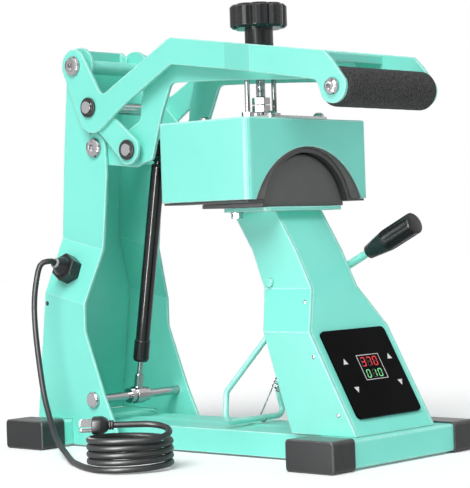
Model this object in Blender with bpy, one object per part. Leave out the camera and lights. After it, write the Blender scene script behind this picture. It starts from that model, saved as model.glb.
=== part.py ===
"""Cap heat press: a clamshell press with a toggle handle, a gas spring and a curved heated head."""

import math

import bmesh
import bpy
from mathutils import Matrix, Vector

# X runs across the machine, -Y is the front and +Z is up. All lengths are in metres.
# A point of the side view is a pair of shares: of the base's half length, and of the upper pivot's height.

# Sizes of the whole
BASE_WIDTH = 0.216
BASE_LENGTH = 0.447
PIVOT_HEIGHT = 0.400
GAP = 0.0003
RUN_GAP = 0.0005

# Base
CAP_WIDTH = BASE_WIDTH * 7 / 48
CAP_DEPTH = 0.057
CAP_HEIGHT = 0.030
CAP_WALL = 0.0015
CAP_CORNER = 0.0040
TUBE_CORNER = 0.0028
TUBE_WALL = 0.002
BEAM_HALF_WIDTH = 0.046
BEAM_WALL = 0.003
BEAM_DROP = 0.0025
BEAD_HALF_WIDTH = 0.008
BEAD_HEIGHT = 0.0015

# Pivots
UPPER_PIVOT_share = (0.7293, 1.0000)
LOWER_PIVOT_share = (0.6443, 0.7825)
HANDLE_PIN_share = (0.6309, 0.8875)
LINK_PIN_share = (0.3982, 0.7700)
GAS_FOOT_share = (0.5996, 0.1250)
GRIP_AXIS_share = (-0.9163, 0.8750)
LEVER_AXIS_share = (-0.4072, 0.4250)
PIN_RADIUS = 0.0065
AXLE_RADIUS = 0.008
SPACER_RADIUS = 0.0075
BOLT_SHANK = 0.004
BOLT_HEAD = 0.0105
BOLT_HEAD_HEIGHT = 0.0045
SOCKET_RADIUS = 0.0038
SOCKET_DEPTH = 0.0028
WASHER_RADIUS = 0.007
RING_RADIUS = 0.010
RING_WIDTH = 0.002
PIN_END = 0.0027

# Plates, from the middle outwards
HEAD_INNER = 0.034
HEAD_PLATE = 0.0035
COLUMN_SPACE = 0.0015
COLUMN_PLATE = 0.003
LINK_SPACE = 0.0015
LINK_PLATE = 0.0035
ARM_SPACE = 0.0005
ARM_PLATE = 0.0035

# Column
COLUMN_FLARE = 0.021
FLARE_HIGH_share = (0.6264, 0.5170)
FLARE_LOW_share = (0.6264, 0.3698)
FLARE_SLOPE_share = 0.213
COLUMN_LOBE = 0.020
LOWER_LOBE = 0.016
PIN_RELIEF = 0.0095
COLUMN_TOE_share = (0.4251, 0.0275)
COLUMN_REAR_shares = [
    (0.8277, 0.9350), (0.8591, 0.7550), (0.8859, 0.5475),
    (0.9172, 0.4050), (0.9485, 0.2700), (0.9799, 0.1350),
]
COLUMN_FRONT_shares = [
    (0.4385, 0.0275), (0.5369, 0.1425), (0.6488, 0.3000),
    (0.6488, 0.3725), (0.6085, 0.5150), (0.5682, 0.7100),
]
BACK_TOP_share = (0.8188, 1.0150)

# Head arm
HEAD_HUB = 0.017
HEAD_LOBE = 0.018
HEAD_REAR_shares = [
    (0.6353, 0.8250), (0.4474, 0.8175), (0.3490, 0.8450), (0.3400, 0.8925),
    (0.3177, 0.9300), (0.2953, 0.9800),
]
HEAD_TOP_shares = [(0.0895, 0.9900), (-0.6622, 0.9600)]
HEAD_UNDER_shares = [(-0.6801, 0.9050), (-0.3400, 0.9187), (-0.1566, 0.9250), (0.1477, 0.9325)]
HEAD_NECK_shares = [(0.2148, 0.8525), (0.2550, 0.7875), (0.2819, 0.7425)]
HEAD_FILLET = 0.008
NOSE_FILLET = 0.004
HEAD_WEB = 0.003
HEAD_WEB_REAR_share = (0.2685, 0.9975)
BOSS_RADIUS = 0.009
BOSS_DEPTH = 0.015
BOSS_RISE = 0.0012

# Handle
ARM_LOBE = 0.0175
ARM_REAR_share = (0.7472, 0.9175)
HEEL_share = (0.6085, 0.8750)
HEEL_RADIUS = 0.022
ARM_UNDER_shares = [
    (0.3937, 0.8862), (0.0895, 0.9750), (-0.4609, 0.9300), (-0.7696, 0.9000),
    (-0.8322, 0.8938),
]
ARM_NOSE_shares = [(-0.9172, 0.9350), (-0.8725, 0.9600)]
ARM_SHOULDER_share = (0.0895, 1.0425)
ARM_NOTCH_share = (0.5459, 0.9137)
ARM_FILLET = 0.008
GRIP_LUG = 0.0155
ARM_FLARE = 0.019
FLARE_START_share = (-0.2416, 1.0150)
FLARE_END_share = (-0.4653, 0.9950)
WEB_REAR_share = (-0.5011, 0.9925)
WEB_FRONT_share = (-0.7025, 0.9750)
WEB_SHEET = 0.003
WEB_INSET = 0.0015
WEB_LIP = 0.008
GRIP_TUBE = 0.008
GRIP_RADIUS = 0.0187
GRIP_EDGE = 0.0025
GRIP_BOLT_HEAD = 0.0081

# Links
LINK_LOBE = 0.0155
LINK_WAIST = 0.0130

# Gas spring
GAS_RADIUS = 0.0075
GAS_SHOULDER_share = 0.056
GAS_SLEEVE_share = 0.775
GAS_SLEEVE_END_share = 0.860
GAS_ROD_TOP_share = 0.630
GAS_BORE_TOP_share = 0.500
GAS_FITTING_share = 0.085
GAS_SLEEVE_RADIUS = 0.0085
GAS_ROD = 0.0028
GAS_FITTING = 0.0048
GAS_NECK = 0.0050
GAS_EYE = 0.0120
GAS_EYE_CLEARANCE = 0.0016
GAS_EYE_HALF = 0.006
FOOT_EYE = 0.0092
CROSS_ROD = 0.0045
COLLAR_RADIUS = 0.0078
COLLAR_LENGTH = 0.007
CROSS_HEAD = 0.0085
CROSS_HEAD_WIDTH = 0.004

# Heater
HEATER_share = (-0.2550, 0.6250)
RAM_share = (-0.2461, 0.6250)
HOUSING_HALF_WIDTH = 0.090
HOUSING_HALF_DEPTH = 0.059
HOUSING_HEIGHT = 0.078
HOUSING_WALL = 0.002
HOUSING_CORNER = 0.006
ARCH_RADIUS = 0.0875
ARCH_DROP = 0.0365
FORM_RADIUS = 0.063
FORM_DROP = 0.0185
PRESS_GAP = 0.001
PLATEN_THICK = 0.004
PLATEN_FLANGE = 0.0021
PLATEN_FLANGE_REACH = 0.0875
PLATEN_END = 0.004
ELEMENT_REACH = 0.080
ELEMENT_HEIGHT = 0.065
ELEMENT_FILLET = 0.020
ELEMENT_END = 0.0025
PLATE_HALF_WIDTH = 0.043
PLATE_HALF_DEPTH = 0.051
PLATE_THICK = 0.003
GUIDE_RADIUS = 0.0026
GUIDE_SPACING = 0.020
GUIDE_ABOVE = 0.006
GUIDE_NUT = 0.0062
GUIDE_FLANGE = 0.0075
GUIDE_NUT_HEIGHT = 0.0060
THREAD_RADIUS = 0.0044
ROD_NUT = 0.0092
ROD_NUT_HEIGHT = 0.0066
ROD_NUT_LIFT = 0.0065

# Knob
KNOB_RADIUS = 0.0285
KNOB_GROOVE = 0.0040
KNOB_HEIGHT = 0.024
KNOB_LIFT = 0.029
KNOB_BORE_DEPTH = 0.018
KNOB_LOBES = 8
KNOB_EDGE = 0.0025
COLLAR_OUTER = 0.0142
COLLAR_NECK = 0.0105
COLLAR_HEIGHT = 0.0165

# Form and its bracket
FORM_CENTRE_share = (-0.2998, 0.6250)
FORM_HALF_DEPTH = 0.039
FORM_PAD = 0.0027
FORM_SEAT = 0.0067
FORM_STEP = 0.0030
FORM_LEDGE = 0.002
BRACKET_HALF = 0.057
BRACKET_FRONT_share = (-0.4922, 0.5975)
BRACKET_REAR_share = (-0.2237, 0.5975)
BRACKET_THICK = 0.004
BRACKET_CORNER = 0.006

# Pedestal
PEDESTAL_HALF = 0.035
PEDESTAL_FLARE = 0.025
PEDESTAL_SHEET = 0.003
PEDESTAL_REAR_shares = [(-0.2013, 0.5968), (-0.3087, 0.5025), (-0.3714, 0.4100), (-0.4564, 0.3100)]
PEDESTAL_FRONT_shares = [(-0.7114, 0.3100), (-0.6353, 0.4100), (-0.5548, 0.5000), (-0.4474, 0.5968)]
PEDESTAL_REAR_FOOT_share = (-0.5996, 0.0700)
PEDESTAL_FRONT_FOOT_share = (-0.9485, 0.0700)
PEDESTAL_FLANGE_share = (-0.6264, 0.0700)
PANEL_HALF = 0.048
PANEL_THICK = 0.0025
PANEL_DOWN_share = 0.150
PANEL_UP_share = 0.985
PANEL_CORNER = 0.005
BOARD_HALF = 0.040
BOARD_THICK = 0.008
BOARD_INSET = 0.012

# Lever, bail and spring
SHAFT_RADIUS = 0.004
SHAFT_LEFT = 0.003
LEVER_OUT = 0.010
LEVER_BEND_share = (-0.5682, 0.4625)
LEVER_TIP_share = (-0.9306, 0.5600)
LEVER_FILLET = 0.008
LEVER_GRIP_START_share = 0.28
LEVER_ROD_END_share = 0.55
LEVER_GRIP_THIN = 0.007
LEVER_GRIP_THICK = 0.011
BAIL_WIRE = 0.003
BAIL_TOP_X = 0.028
BAIL_KNEE_share = (-0.3579, 0.2950)
BAIL_BEND_share = (-0.1387, 0.1550)
BAIL_FOOT_share = (-0.1521, 0.0800)
BAIL_BEND_X = 0.038
BAIL_FOOT_X = 0.044
BAIL_FILLET = 0.008
BAIL_CLEAR = 0.0008
SPRING_X = 0.012
SPRING_RADIUS = 0.005
SPRING_WIRE = 0.0008
SPRING_TURNS = 13
SPRING_START_share = 0.25
SPRING_END_share = 0.71
ANCHOR_share = (-0.4653, 0.3550)
ANCHOR_RADIUS = 0.0025

# Cord
CORD_RADIUS = 0.003
CORD_LIFT = 0.00002
GLAND_share = (0.7830, 0.4620)
GLAND_HEX = 0.0148
GLAND_HEX_HEIGHT = 0.006
GLAND_BODY = 0.008
GLAND_INSIDE = 0.009
GLAND_DOME = 0.0115
GLAND_LENGTH = 0.026
GLAND_MOUTH = 0.0044
CORD_ROUTE_shares = [
    (-0.8519, 0.7987, 0.4800), (-0.8981, 0.8098, 0.4300), (-0.9352, 0.8054, 0.3750),
    (-0.9630, 0.7875, 0.3125), (-1.0000, 0.7517, 0.2400),
    (-1.0648, 0.6890, 0.1550), (-1.1204, 0.6309, 0.1050), (-1.1944, 0.5593, 0.0650),
    (-1.2963, 0.4698, 0.0362), (-1.4352, 0.3445, 0.0163),
    (-1.5926, 0.2237, 0.0075), (-1.7315, 0.1074, 0.0075),
]
COIL_CENTRE_share = (-1.5278, -0.1029, 0.0000)
COIL_RADIUS = 0.0385
COIL_GAP = 0.0006
COIL_STEPS = 24
COIL_COUNT = 100
COIL_START_DEG = 160.7
TAIL_RADIUS = 0.026
TAIL_REACH = 0.016
PLUG_LENGTH = 0.020
PLUG_HALF_WIDTH = 0.0125
PLUG_HALF_HEIGHT = 0.0084
PLUG_NECK = 0.0045
BLADE_LENGTH = 0.012
BLADE_HALF = 0.0031
BLADE_THICK = 0.0008
BLADE_SPACING = 0.0063
BLADE_LIFT = 0.0025
EARTH_PIN = 0.0022
EARTH_DROP = 0.0045


def at(share):
    """A point of the side view."""
    return (share[0] * BASE_LENGTH / 2, share[1] * PIVOT_HEIGHT)


def spot(share):
    """A point in space, its first share being one of the base's half width."""
    return Vector((share[0] * BASE_WIDTH / 2, share[1] * BASE_LENGTH / 2, share[2] * PIVOT_HEIGHT))


UPPER_PIVOT = at(UPPER_PIVOT_share)
LOWER_PIVOT = at(LOWER_PIVOT_share)
HANDLE_PIN = at(HANDLE_PIN_share)
LINK_PIN = at(LINK_PIN_share)
GAS_FOOT = at(GAS_FOOT_share)
GRIP_AXIS = at(GRIP_AXIS_share)
LEVER_AXIS = at(LEVER_AXIS_share)
ANCHOR = at(ANCHOR_share)
HEATER_Y, HOUSING_BOTTOM = at(HEATER_share)
RAM_Y = at(RAM_share)[0]
HOUSING_TOP = HOUSING_BOTTOM + HOUSING_HEIGHT
FORM_AXIS_Z = HOUSING_BOTTOM - FORM_DROP
HEAD_OUTER = HEAD_INNER + HEAD_PLATE
COLUMN_INNER = HEAD_OUTER + COLUMN_SPACE
COLUMN_OUTER = COLUMN_INNER + COLUMN_PLATE
LINK_INNER = COLUMN_OUTER + LINK_SPACE
LINK_OUTER = LINK_INNER + LINK_PLATE
ARM_INNER = LINK_OUTER + ARM_SPACE
ARM_OUTER = ARM_INNER + ARM_PLATE


def clear_scene():
    for old in list(bpy.data.objects):
        bpy.data.objects.remove(old)


def material(name, colour, roughness, metallic):
    made = bpy.data.materials.new(name)
    made.use_nodes = True
    shader = made.node_tree.nodes["Principled BSDF"]
    shader.inputs["Base Color"].default_value = (*colour, 1.0)
    shader.inputs["Roughness"].default_value = roughness
    shader.inputs["Metallic"].default_value = metallic
    return made


FINISHES = {
    "mint": ((0.24, 0.91, 0.78), 0.40, 0.0),
    "black": ((0.02, 0.02, 0.022), 0.55, 0.0),
    "chrome": ((0.80, 0.80, 0.82), 0.18, 1.0),
    "steel": ((0.62, 0.62, 0.64), 0.35, 1.0),
    "foam": ((0.035, 0.035, 0.037), 0.90, 0.0),
    "glass": ((0.01, 0.01, 0.012), 0.12, 0.0),
    "board": ((0.03, 0.20, 0.08), 0.50, 0.0),
    "felt": ((0.10, 0.10, 0.105), 0.85, 0.0),
}


def finish_object(name, mesh_data, finish, pivot=None):
    """Make the object, give it its own material and put its origin on its joint axis."""
    made = bpy.data.objects.new(name, mesh_data)
    bpy.context.collection.objects.link(made)
    made.data.materials.append(material(name + "_finish", *FINISHES[finish]))
    if pivot is not None:
        place = Vector(pivot)
        made.data.transform(Matrix.Translation(-place))
        made.location = place
    return made


def from_bmesh(name, bm, finish, pivot=None, smooth_deg=35.0):
    bmesh.ops.recalc_face_normals(bm, faces=bm.faces[:])
    mesh = bpy.data.meshes.new(name)
    bm.to_mesh(mesh)
    bm.free()
    mesh.shade_smooth()
    mesh.set_sharp_from_angle(angle=math.radians(smooth_deg))
    return finish_object(name, mesh, finish, pivot)


def arc(centre, radius, start_deg, end_deg, steps):
    points = []
    for index in range(steps + 1):
        angle = math.radians(start_deg + (end_deg - start_deg) * index / steps)
        points.append((centre[0] + radius * math.cos(angle), centre[1] + radius * math.sin(angle)))
    return points


def circle(centre, radius, steps=24):
    return arc(centre, radius, 0.0, 360.0, steps)[:-1]


def rounded(points, radii, steps=5):
    """Replace each corner that has a radius by an arc tangent to both its sides."""
    result = []
    count = len(points)
    for index, corner in enumerate(points):
        radius = radii[index]
        if radius == 0:
            result.append(corner)
            continue
        here = Vector(corner)
        back = (Vector(points[index - 1]) - here).normalized()
        ahead = (Vector(points[(index + 1) % count]) - here).normalized()
        half = back.angle(ahead) / 2
        reach = radius / math.tan(half)
        centre = here + (back + ahead).normalized() * (radius / math.sin(half))
        first = here + back * reach - centre
        last = here + ahead * reach - centre
        turn = first.angle_signed(last)
        for step in range(steps + 1):
            angle = -turn * step / steps
            spun = Matrix.Rotation(angle, 2) @ first
            result.append(tuple(centre + spun))
    return result


def flat_triangles(loops):
    """Triangulate an outline with holes and return the points and index triples."""
    scratch = bmesh.new()
    edges = []
    for loop in loops:
        verts = [scratch.verts.new((u, v, 0.0)) for u, v in loop]
        for first, second in zip(verts, verts[1:] + verts[:1]):
            edges.append(scratch.edges.new((first, second)))
    scratch.verts.index_update()
    bmesh.ops.triangle_fill(scratch, use_beauty=True, use_dissolve=False, edges=edges)
    triples = [[vert.index for vert in face.verts] for face in scratch.faces]
    scratch.free()
    return triples


def prism(loops, low, high, place):
    """Extrude an outline with holes; place(u, v, w) gives the solid's point."""
    triples = flat_triangles(loops)
    bm = bmesh.new()
    flat = [point for loop in loops for point in loop]
    bottom = [bm.verts.new(place(u, v, low)) for u, v in flat]
    top = [bm.verts.new(place(u, v, high)) for u, v in flat]
    for a, b, c in triples:
        bm.faces.new((bottom[a], bottom[b], bottom[c]))
        bm.faces.new((top[c], top[b], top[a]))
    start = 0
    for loop in loops:
        count = len(loop)
        for index in range(count):
            a = start + index
            b = start + (index + 1) % count
            bm.faces.new((bottom[a], bottom[b], top[b], top[a]))
        start += count
    bmesh.ops.recalc_face_normals(bm, faces=bm.faces[:])
    return bm


def along_x(u, v, w):
    return (w, u, v)


def along_y(u, v, w):
    return (u, w, v)


def along_z(u, v, w):
    return (u, v, w)


def plate(name, outline, holes, x_low, x_high, finish, pivot=None, bend=None):
    """A plate cut in the Y-Z plane; bend moves its vertices after cuts at the fold lines."""
    bm = prism([outline] + holes, x_low, x_high, along_x)
    if bend is not None:
        bend(bm)
    return from_bmesh(name, bm, finish, pivot, smooth_deg=25.0)


def cut_at(bm, point, normal):
    geometry = bm.verts[:] + bm.edges[:] + bm.faces[:]
    bmesh.ops.bisect_plane(bm, geom=geometry, dist=0.0000001, plane_co=point, plane_no=normal)


def skin(rings, closed=False):
    """Join rings of equal count; the end rings are filled unless the row is closed."""
    bm = bmesh.new()
    rows = []
    for ring in rings:
        if len(ring) == 1:
            rows.append([bm.verts.new(ring[0])])
        else:
            rows.append([bm.verts.new(point) for point in ring])
    pairs = list(zip(rows, rows[1:]))
    if closed:
        pairs.append((rows[-1], rows[0]))
    for first, second in pairs:
        count = max(len(first), len(second))
        for index in range(count):
            after = (index + 1) % count
            corners = []
            for row, spot in ((first, index), (first, after), (second, after), (second, index)):
                vert = row[0] if len(row) == 1 else row[spot]
                if vert not in corners:
                    corners.append(vert)
            if len(corners) > 2:
                bm.faces.new(corners)
    if not closed:
        for row in (rows[0], rows[-1]):
            if len(row) > 2:
                bm.faces.new(row)
    bmesh.ops.recalc_face_normals(bm, faces=bm.faces[:])
    return bm


def hexagon(across_corners):
    """A radius that follows a hexagon as the angle turns."""
    def radius(angle):
        local = (angle % (math.pi / 3)) - math.pi / 6
        return across_corners * math.cos(math.pi / 6) / math.cos(local)
    return radius


def turned(profile, steps=24, closed=False):
    """Revolve (radius, height) pairs about Z; a radius may be a function of the angle."""
    rings = []
    for radius, height in profile:
        if not callable(radius) and radius == 0:
            rings.append([(0.0, 0.0, height)])
            continue
        ring = []
        for index in range(steps):
            angle = 2 * math.pi * index / steps
            reach = radius(angle) if callable(radius) else radius
            ring.append((reach * math.cos(angle), reach * math.sin(angle), height))
        rings.append(ring)
    return skin(rings, closed)


def stand(bm, origin, axis):
    """Turn +Z to the axis and move to the origin."""
    turn = Vector((0.0, 0.0, 1.0)).rotation_difference(Vector(axis)).to_matrix().to_4x4()
    bm.transform(Matrix.Translation(Vector(origin)) @ turn)
    return bm


def merged(parts):
    """Put several separate solids into one mesh."""
    whole = bmesh.new()
    for part in parts:
        mesh = bpy.data.meshes.new("piece")
        part.to_mesh(mesh)
        part.free()
        whole.from_mesh(mesh)
        bpy.data.meshes.remove(mesh)
    return whole


def boolean(target, tool_bm, name, operation):
    """Cut or join a tool mesh in the target's own space, then drop the tool."""
    bmesh.ops.recalc_face_normals(tool_bm, faces=tool_bm.faces[:])
    mesh = bpy.data.meshes.new(name)
    tool_bm.to_mesh(mesh)
    tool_bm.free()
    mesh.shade_smooth()
    mesh.set_sharp_from_angle(angle=math.radians(30.0))
    tool = bpy.data.objects.new(name, mesh)
    bpy.context.collection.objects.link(tool)
    tool.hide_render = True
    tool.display_type = "WIRE"
    step = target.modifiers.new(name, "BOOLEAN")
    step.operation = operation
    step.solver = "EXACT"
    step.object = tool
    return tool


def rod(name, y_z, x_low, x_high, radius, finish, pivot=None, bore=None, steps=24):
    """A round rod or tube along X."""
    length = x_high - x_low
    if bore is None:
        profile = [(0, 0.0), (radius, 0.0), (radius, length), (0, length)]
        bm = turned(profile, steps)
    else:
        profile = [(radius, 0.0), (radius, length), (bore, length), (bore, 0.0)]
        bm = turned(profile, steps, closed=True)
    stand(bm, (x_low, *y_z), (1.0, 0.0, 0.0))
    return from_bmesh(name, bm, finish, pivot)


def curve_tube(name, points, radius, finish, resolution=2, pivot=None, closed=False):
    data = bpy.data.curves.new(name, "CURVE")
    data.dimensions = "3D"
    data.bevel_depth = radius
    data.bevel_resolution = resolution
    data.use_fill_caps = not closed
    spline = data.splines.new("POLY")
    spline.points.add(len(points) - 1)
    for spot, point in zip(spline.points, points):
        spot.co = (*point, 1.0)
    spline.use_cyclic_u = closed
    made = finish_object(name, data, finish)
    if pivot is not None:
        place = Vector(pivot)
        data.transform(Matrix.Translation(-place))
        made.location = place
    return made


def bent_path(corners, radius, steps=6):
    """A path of straight runs joined by arcs in space."""
    path = [Vector(corners[0])]
    for index in range(1, len(corners) - 1):
        here = Vector(corners[index])
        back = (Vector(corners[index - 1]) - here).normalized()
        ahead = (Vector(corners[index + 1]) - here).normalized()
        half = back.angle(ahead) / 2
        reach = radius / math.tan(half)
        centre = here + (back + ahead).normalized() * (radius / math.sin(half))
        first = here + back * reach - centre
        last = here + ahead * reach - centre
        total = first.angle(last)
        axis = first.cross(last).normalized()
        for step in range(steps + 1):
            path.append(centre + Matrix.Rotation(total * step / steps, 3, axis) @ first)
    path.append(Vector(corners[-1]))
    return [tuple(point) for point in path]


def smooth_path(points, count):
    """Read evenly spaced points from a Catmull-Rom curve through the route's points."""
    knots = [Vector(point) for point in points]
    knots = [knots[0] * 2 - knots[1]] + knots + [knots[-1] * 2 - knots[-2]]
    dense = []
    for index in range(1, len(knots) - 2):
        a, b, c, d = knots[index - 1:index + 3]
        for step in range(24):
            t = step / 24
            dense.append(0.5 * ((2 * b) + (c - a) * t + (2 * a - 5 * b + 4 * c - d) * t * t
                                + (3 * b - a - 3 * c + d) * t ** 3))
    dense.append(knots[-2])
    lengths = [0.0]
    for first, second in zip(dense, dense[1:]):
        lengths.append(lengths[-1] + (second - first).length)
    result = []
    spot = 0
    for index in range(count):
        goal = lengths[-1] * index / (count - 1)
        while spot < len(dense) - 2 and lengths[spot + 1] < goal:
            spot += 1
        part = (goal - lengths[spot]) / (lengths[spot + 1] - lengths[spot])
        result.append(dense[spot].lerp(dense[spot + 1], part))
    return result, lengths[-1]


SIDES = (("left", -1.0), ("right", 1.0))


def foot_y(sign):
    return sign * (BASE_LENGTH - CAP_DEPTH) / 2


def tube_half_depth():
    return CAP_DEPTH / 2 - CAP_WALL - GAP


def tube_top():
    return CAP_HEIGHT - CAP_WALL - GAP


def seat_height():
    return tube_top() + GAP


def box_loop(half_y, z_low, z_high, corner, centre_y):
    points = [
        (centre_y - half_y, z_low), (centre_y + half_y, z_low),
        (centre_y + half_y, z_high), (centre_y - half_y, z_high),
    ]
    return rounded(points, [corner] * 4, 4)


def box_ring(half_y, z_low, z_high, corner, centre_y, x):
    return [(x, y, z) for y, z in box_loop(half_y, z_low, z_high, corner, centre_y)]


def make_feet():
    """Two rectangular tubes across the machine, each closed by two rubber caps."""
    for word, sign in (("front", -1.0), ("rear", 1.0)):
        centre = foot_y(sign)
        half = tube_half_depth()
        end = BASE_WIDTH / 2 - CAP_WALL - GAP
        low = CAP_WALL + GAP
        outer = box_loop(half, low, tube_top(), TUBE_CORNER, centre)
        inner = box_loop(half - TUBE_WALL, low + TUBE_WALL, tube_top() - TUBE_WALL,
                         TUBE_CORNER - TUBE_WALL, centre)
        plate(word + "_foot_tube", outer, [inner], -end, end, "mint")
        for side, turn in SIDES:
            far = turn * BASE_WIDTH / 2
            near = turn * (BASE_WIDTH / 2 - CAP_WIDTH)
            floor = turn * (BASE_WIDTH / 2 - CAP_WALL)
            soft = turn * (BASE_WIDTH / 2 - CAP_WALL / 2)
            high = CAP_HEIGHT - CAP_WALL
            trim = CAP_WALL / 2
            rings = [
                box_ring(half + GAP, CAP_WALL, high, TUBE_CORNER, centre, floor),
                box_ring(half + GAP, CAP_WALL, high, TUBE_CORNER, centre, near),
                box_ring(CAP_DEPTH / 2, 0.0, CAP_HEIGHT, CAP_CORNER, centre, near),
                box_ring(CAP_DEPTH / 2, 0.0, CAP_HEIGHT, CAP_CORNER, centre, soft),
                box_ring(CAP_DEPTH / 2 - trim, trim, CAP_HEIGHT - trim, CAP_CORNER - trim, centre, far),
            ]
            from_bmesh("foot_cap_" + word + "_" + side, skin(rings), "black", smooth_deg=30.0)


def make_beam():
    """The base beam: a channel open downwards with a shallow bead along its middle."""
    top = tube_top() - BEAM_DROP
    half = BEAM_HALF_WIDTH
    wall = BEAM_WALL
    low = CAP_WALL + GAP
    under = top - wall
    outline = [
        (-half, low), (-half, top), (-BEAD_HALF_WIDTH, top), (0.0, top + BEAD_HEIGHT),
        (BEAD_HALF_WIDTH, top), (half, top), (half, low), (half - wall, low), (half - wall, under),
        (BEAD_HALF_WIDTH, under), (0.0, under + BEAD_HEIGHT), (-BEAD_HALF_WIDTH, under),
        (-half + wall, under), (-half + wall, low),
    ]
    reach = foot_y(1.0) - tube_half_depth() - GAP
    from_bmesh("base_beam", prism([outline], -reach, reach, along_y), "mint", smooth_deg=25.0)


def fold_level(y, z):
    """Height of a point measured along the column's sloping fold lines."""
    return z - FLARE_SLOPE_share * (y - at(FLARE_HIGH_share)[0])


def column_offset(y, z):
    """How far the column's plates stand out beyond their upper part at a point."""
    high = at(FLARE_HIGH_share)[1]
    low = at(FLARE_LOW_share)[1]
    part = (high - fold_level(y, z)) / (high - low)
    return COLUMN_FLARE * min(1.0, max(0.0, part))


def fold_column(bm, sign=None):
    """Bend the plate at its two fold lines; without a sign each half moves its own way."""
    normal = Vector((0.0, -FLARE_SLOPE_share, 1.0)).normalized()
    for share in (FLARE_HIGH_share, FLARE_LOW_share):
        cut_at(bm, (0.0, *at(share)), normal)
    for vert in bm.verts:
        way = math.copysign(1.0, vert.co.x) if sign is None else sign
        vert.co.x += way * column_offset(vert.co.y, vert.co.z)


def gland_frame():
    """Where the cord leaves the column's flared face, and the outward way of that face."""
    fall = COLUMN_FLARE / (at(FLARE_HIGH_share)[1] - at(FLARE_LOW_share)[1])
    out = Vector((-1.0, -FLARE_SLOPE_share * fall, fall)).normalized()
    y, z = at(GLAND_share)
    return Vector((-COLUMN_OUTER - column_offset(y, z), y, z)), out


def column_outline():
    """The side plate, from the toe along the floor, up the rear edge, round both pivots and down."""
    tube_front = foot_y(1.0) - tube_half_depth() - GAP
    low = CAP_WALL + GAP
    foot = [(at(COLUMN_TOE_share)[0], low), (tube_front, low), (tube_front, seat_height())]
    heel = [(foot_y(1.0) + tube_half_depth(), seat_height())]
    rear = [at(share) for share in COLUMN_REAR_shares[::-1]]
    front = [at(share) for share in COLUMN_FRONT_shares[::-1]]
    top_lobe = arc(UPPER_PIVOT, COLUMN_LOBE, -12.0, 240.0, 18)
    relief = arc(HANDLE_PIN, PIN_RELIEF, 30.0, -60.0, 6)
    low_lobe = arc(LOWER_PIVOT, LOWER_LOBE, 60.0, 180.0, 8)
    return foot + heel + rear + top_lobe + relief + low_lobe + front


def make_column():
    """Two side plates that flare towards the floor, and the wall that joins them at the back."""
    outline = column_outline()
    hole = BOLT_SHANK + GAP
    holes = [circle(UPPER_PIVOT, hole, 16), circle(LOWER_PIVOT, hole, 16), circle(GAS_FOOT,
                                                                                  CROSS_ROD + GAP, 16)]
    for side, sign in SIDES:
        low, high = sorted((sign * COLUMN_INNER, sign * COLUMN_OUTER))
        made = plate("column_side_" + side, outline, holes, low, high, "mint",
                     bend=lambda bm, sign=sign: fold_column(bm, sign))
        if sign < 0:
            base, out = gland_frame()
            reach = 3 * COLUMN_PLATE
            bore = GLAND_BODY + GAP
            tool = turned([(0, -reach), (bore, -reach), (bore, reach), (0, reach)])
            boolean(made, stand(tool, base, out), "gland_drill", "DIFFERENCE")

    heel = (foot_y(1.0) + tube_half_depth(), seat_height())
    outer = [at(BACK_TOP_share)] + [at(share) for share in COLUMN_REAR_shares] + [heel]
    inner = [(y - COLUMN_PLATE, z) for y, z in outer]
    half = COLUMN_INNER - GAP
    bm = prism([outer + inner[::-1]], -half, half, along_x)
    fold_column(bm)
    from_bmesh("column_back", bm, "mint", smooth_deg=25.0)


def through_bolt(name, y_z, seat, head, pivot=None, washer=None):
    """A long bolt through the machine with a domed socket head on each side."""
    shank = BOLT_SHANK
    height = BOLT_HEAD_HEIGHT
    half = []
    if washer is not None:
        near, far = washer
        half += [(shank, near), (WASHER_RADIUS, near), (WASHER_RADIUS, far), (shank, far)]
    end = seat + height
    half += [
        (shank, seat), (head, seat), (head, seat + height * 0.35), (head * 0.88, seat + height * 0.75),
        (head * 0.62, end), (hexagon(SOCKET_RADIUS), end), (hexagon(SOCKET_RADIUS), end - SOCKET_DEPTH),
        (0, end - SOCKET_DEPTH),
    ]
    profile = [(radius, -x) for radius, x in half[::-1]] + half
    from_bmesh(name, stand(turned(profile), (0.0, *y_z), (1.0, 0.0, 0.0)), "chrome", pivot)


def make_column_pivots():
    """The fixed pins of the toggle: a spacer tube above and an axle below, each on a long bolt."""
    inner = COLUMN_INNER - GAP
    bore = BOLT_SHANK + GAP
    rod("upper_spacer_tube", UPPER_PIVOT, -inner, inner, SPACER_RADIUS, "mint", bore=bore)
    washer = (COLUMN_OUTER + GAP, ARM_INNER - GAP)
    through_bolt("upper_pivot_bolt", UPPER_PIVOT, ARM_OUTER + GAP, BOLT_HEAD, washer=washer)
    rod("lower_pivot_axle", LOWER_PIVOT, -inner, inner, AXLE_RADIUS, "chrome", bore=bore)
    through_bolt("lower_pivot_bolt", LOWER_PIVOT, COLUMN_OUTER + GAP, BOLT_HEAD)


def line_height(first, last, y):
    """Height at y of the straight line through two points of the side view."""
    return first[1] + (last[1] - first[1]) * (y - first[0]) / (last[0] - first[0])


def head_top(y):
    rear, front = [at(share) for share in HEAD_TOP_shares]
    return line_height(rear, front, y)


def head_outline():
    """The goose-neck plate: hub at the lower pivot, neck, long beam and lobe at the link pin."""
    hub = arc(LOWER_PIVOT, HEAD_HUB, -90.0, 90.0, 12)
    shares = HEAD_REAR_shares + HEAD_TOP_shares + HEAD_UNDER_shares + HEAD_NECK_shares
    corners = [at(share) for share in shares]
    fillet = HEAD_FILLET
    radii = [0, fillet, fillet, 0, 0, fillet, 0, NOSE_FILLET, fillet, 0, 0, fillet, 0, 0, fillet / 2]
    lobe = arc(LINK_PIN, HEAD_LOBE, 240.0, 265.0, 3)
    path = rounded([hub[-1]] + corners[1:] + [lobe[0]], radii + [0])
    return hub + path[1:-1] + lobe


def head_boss_top():
    return head_top(RAM_Y) + BOSS_RISE


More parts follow.
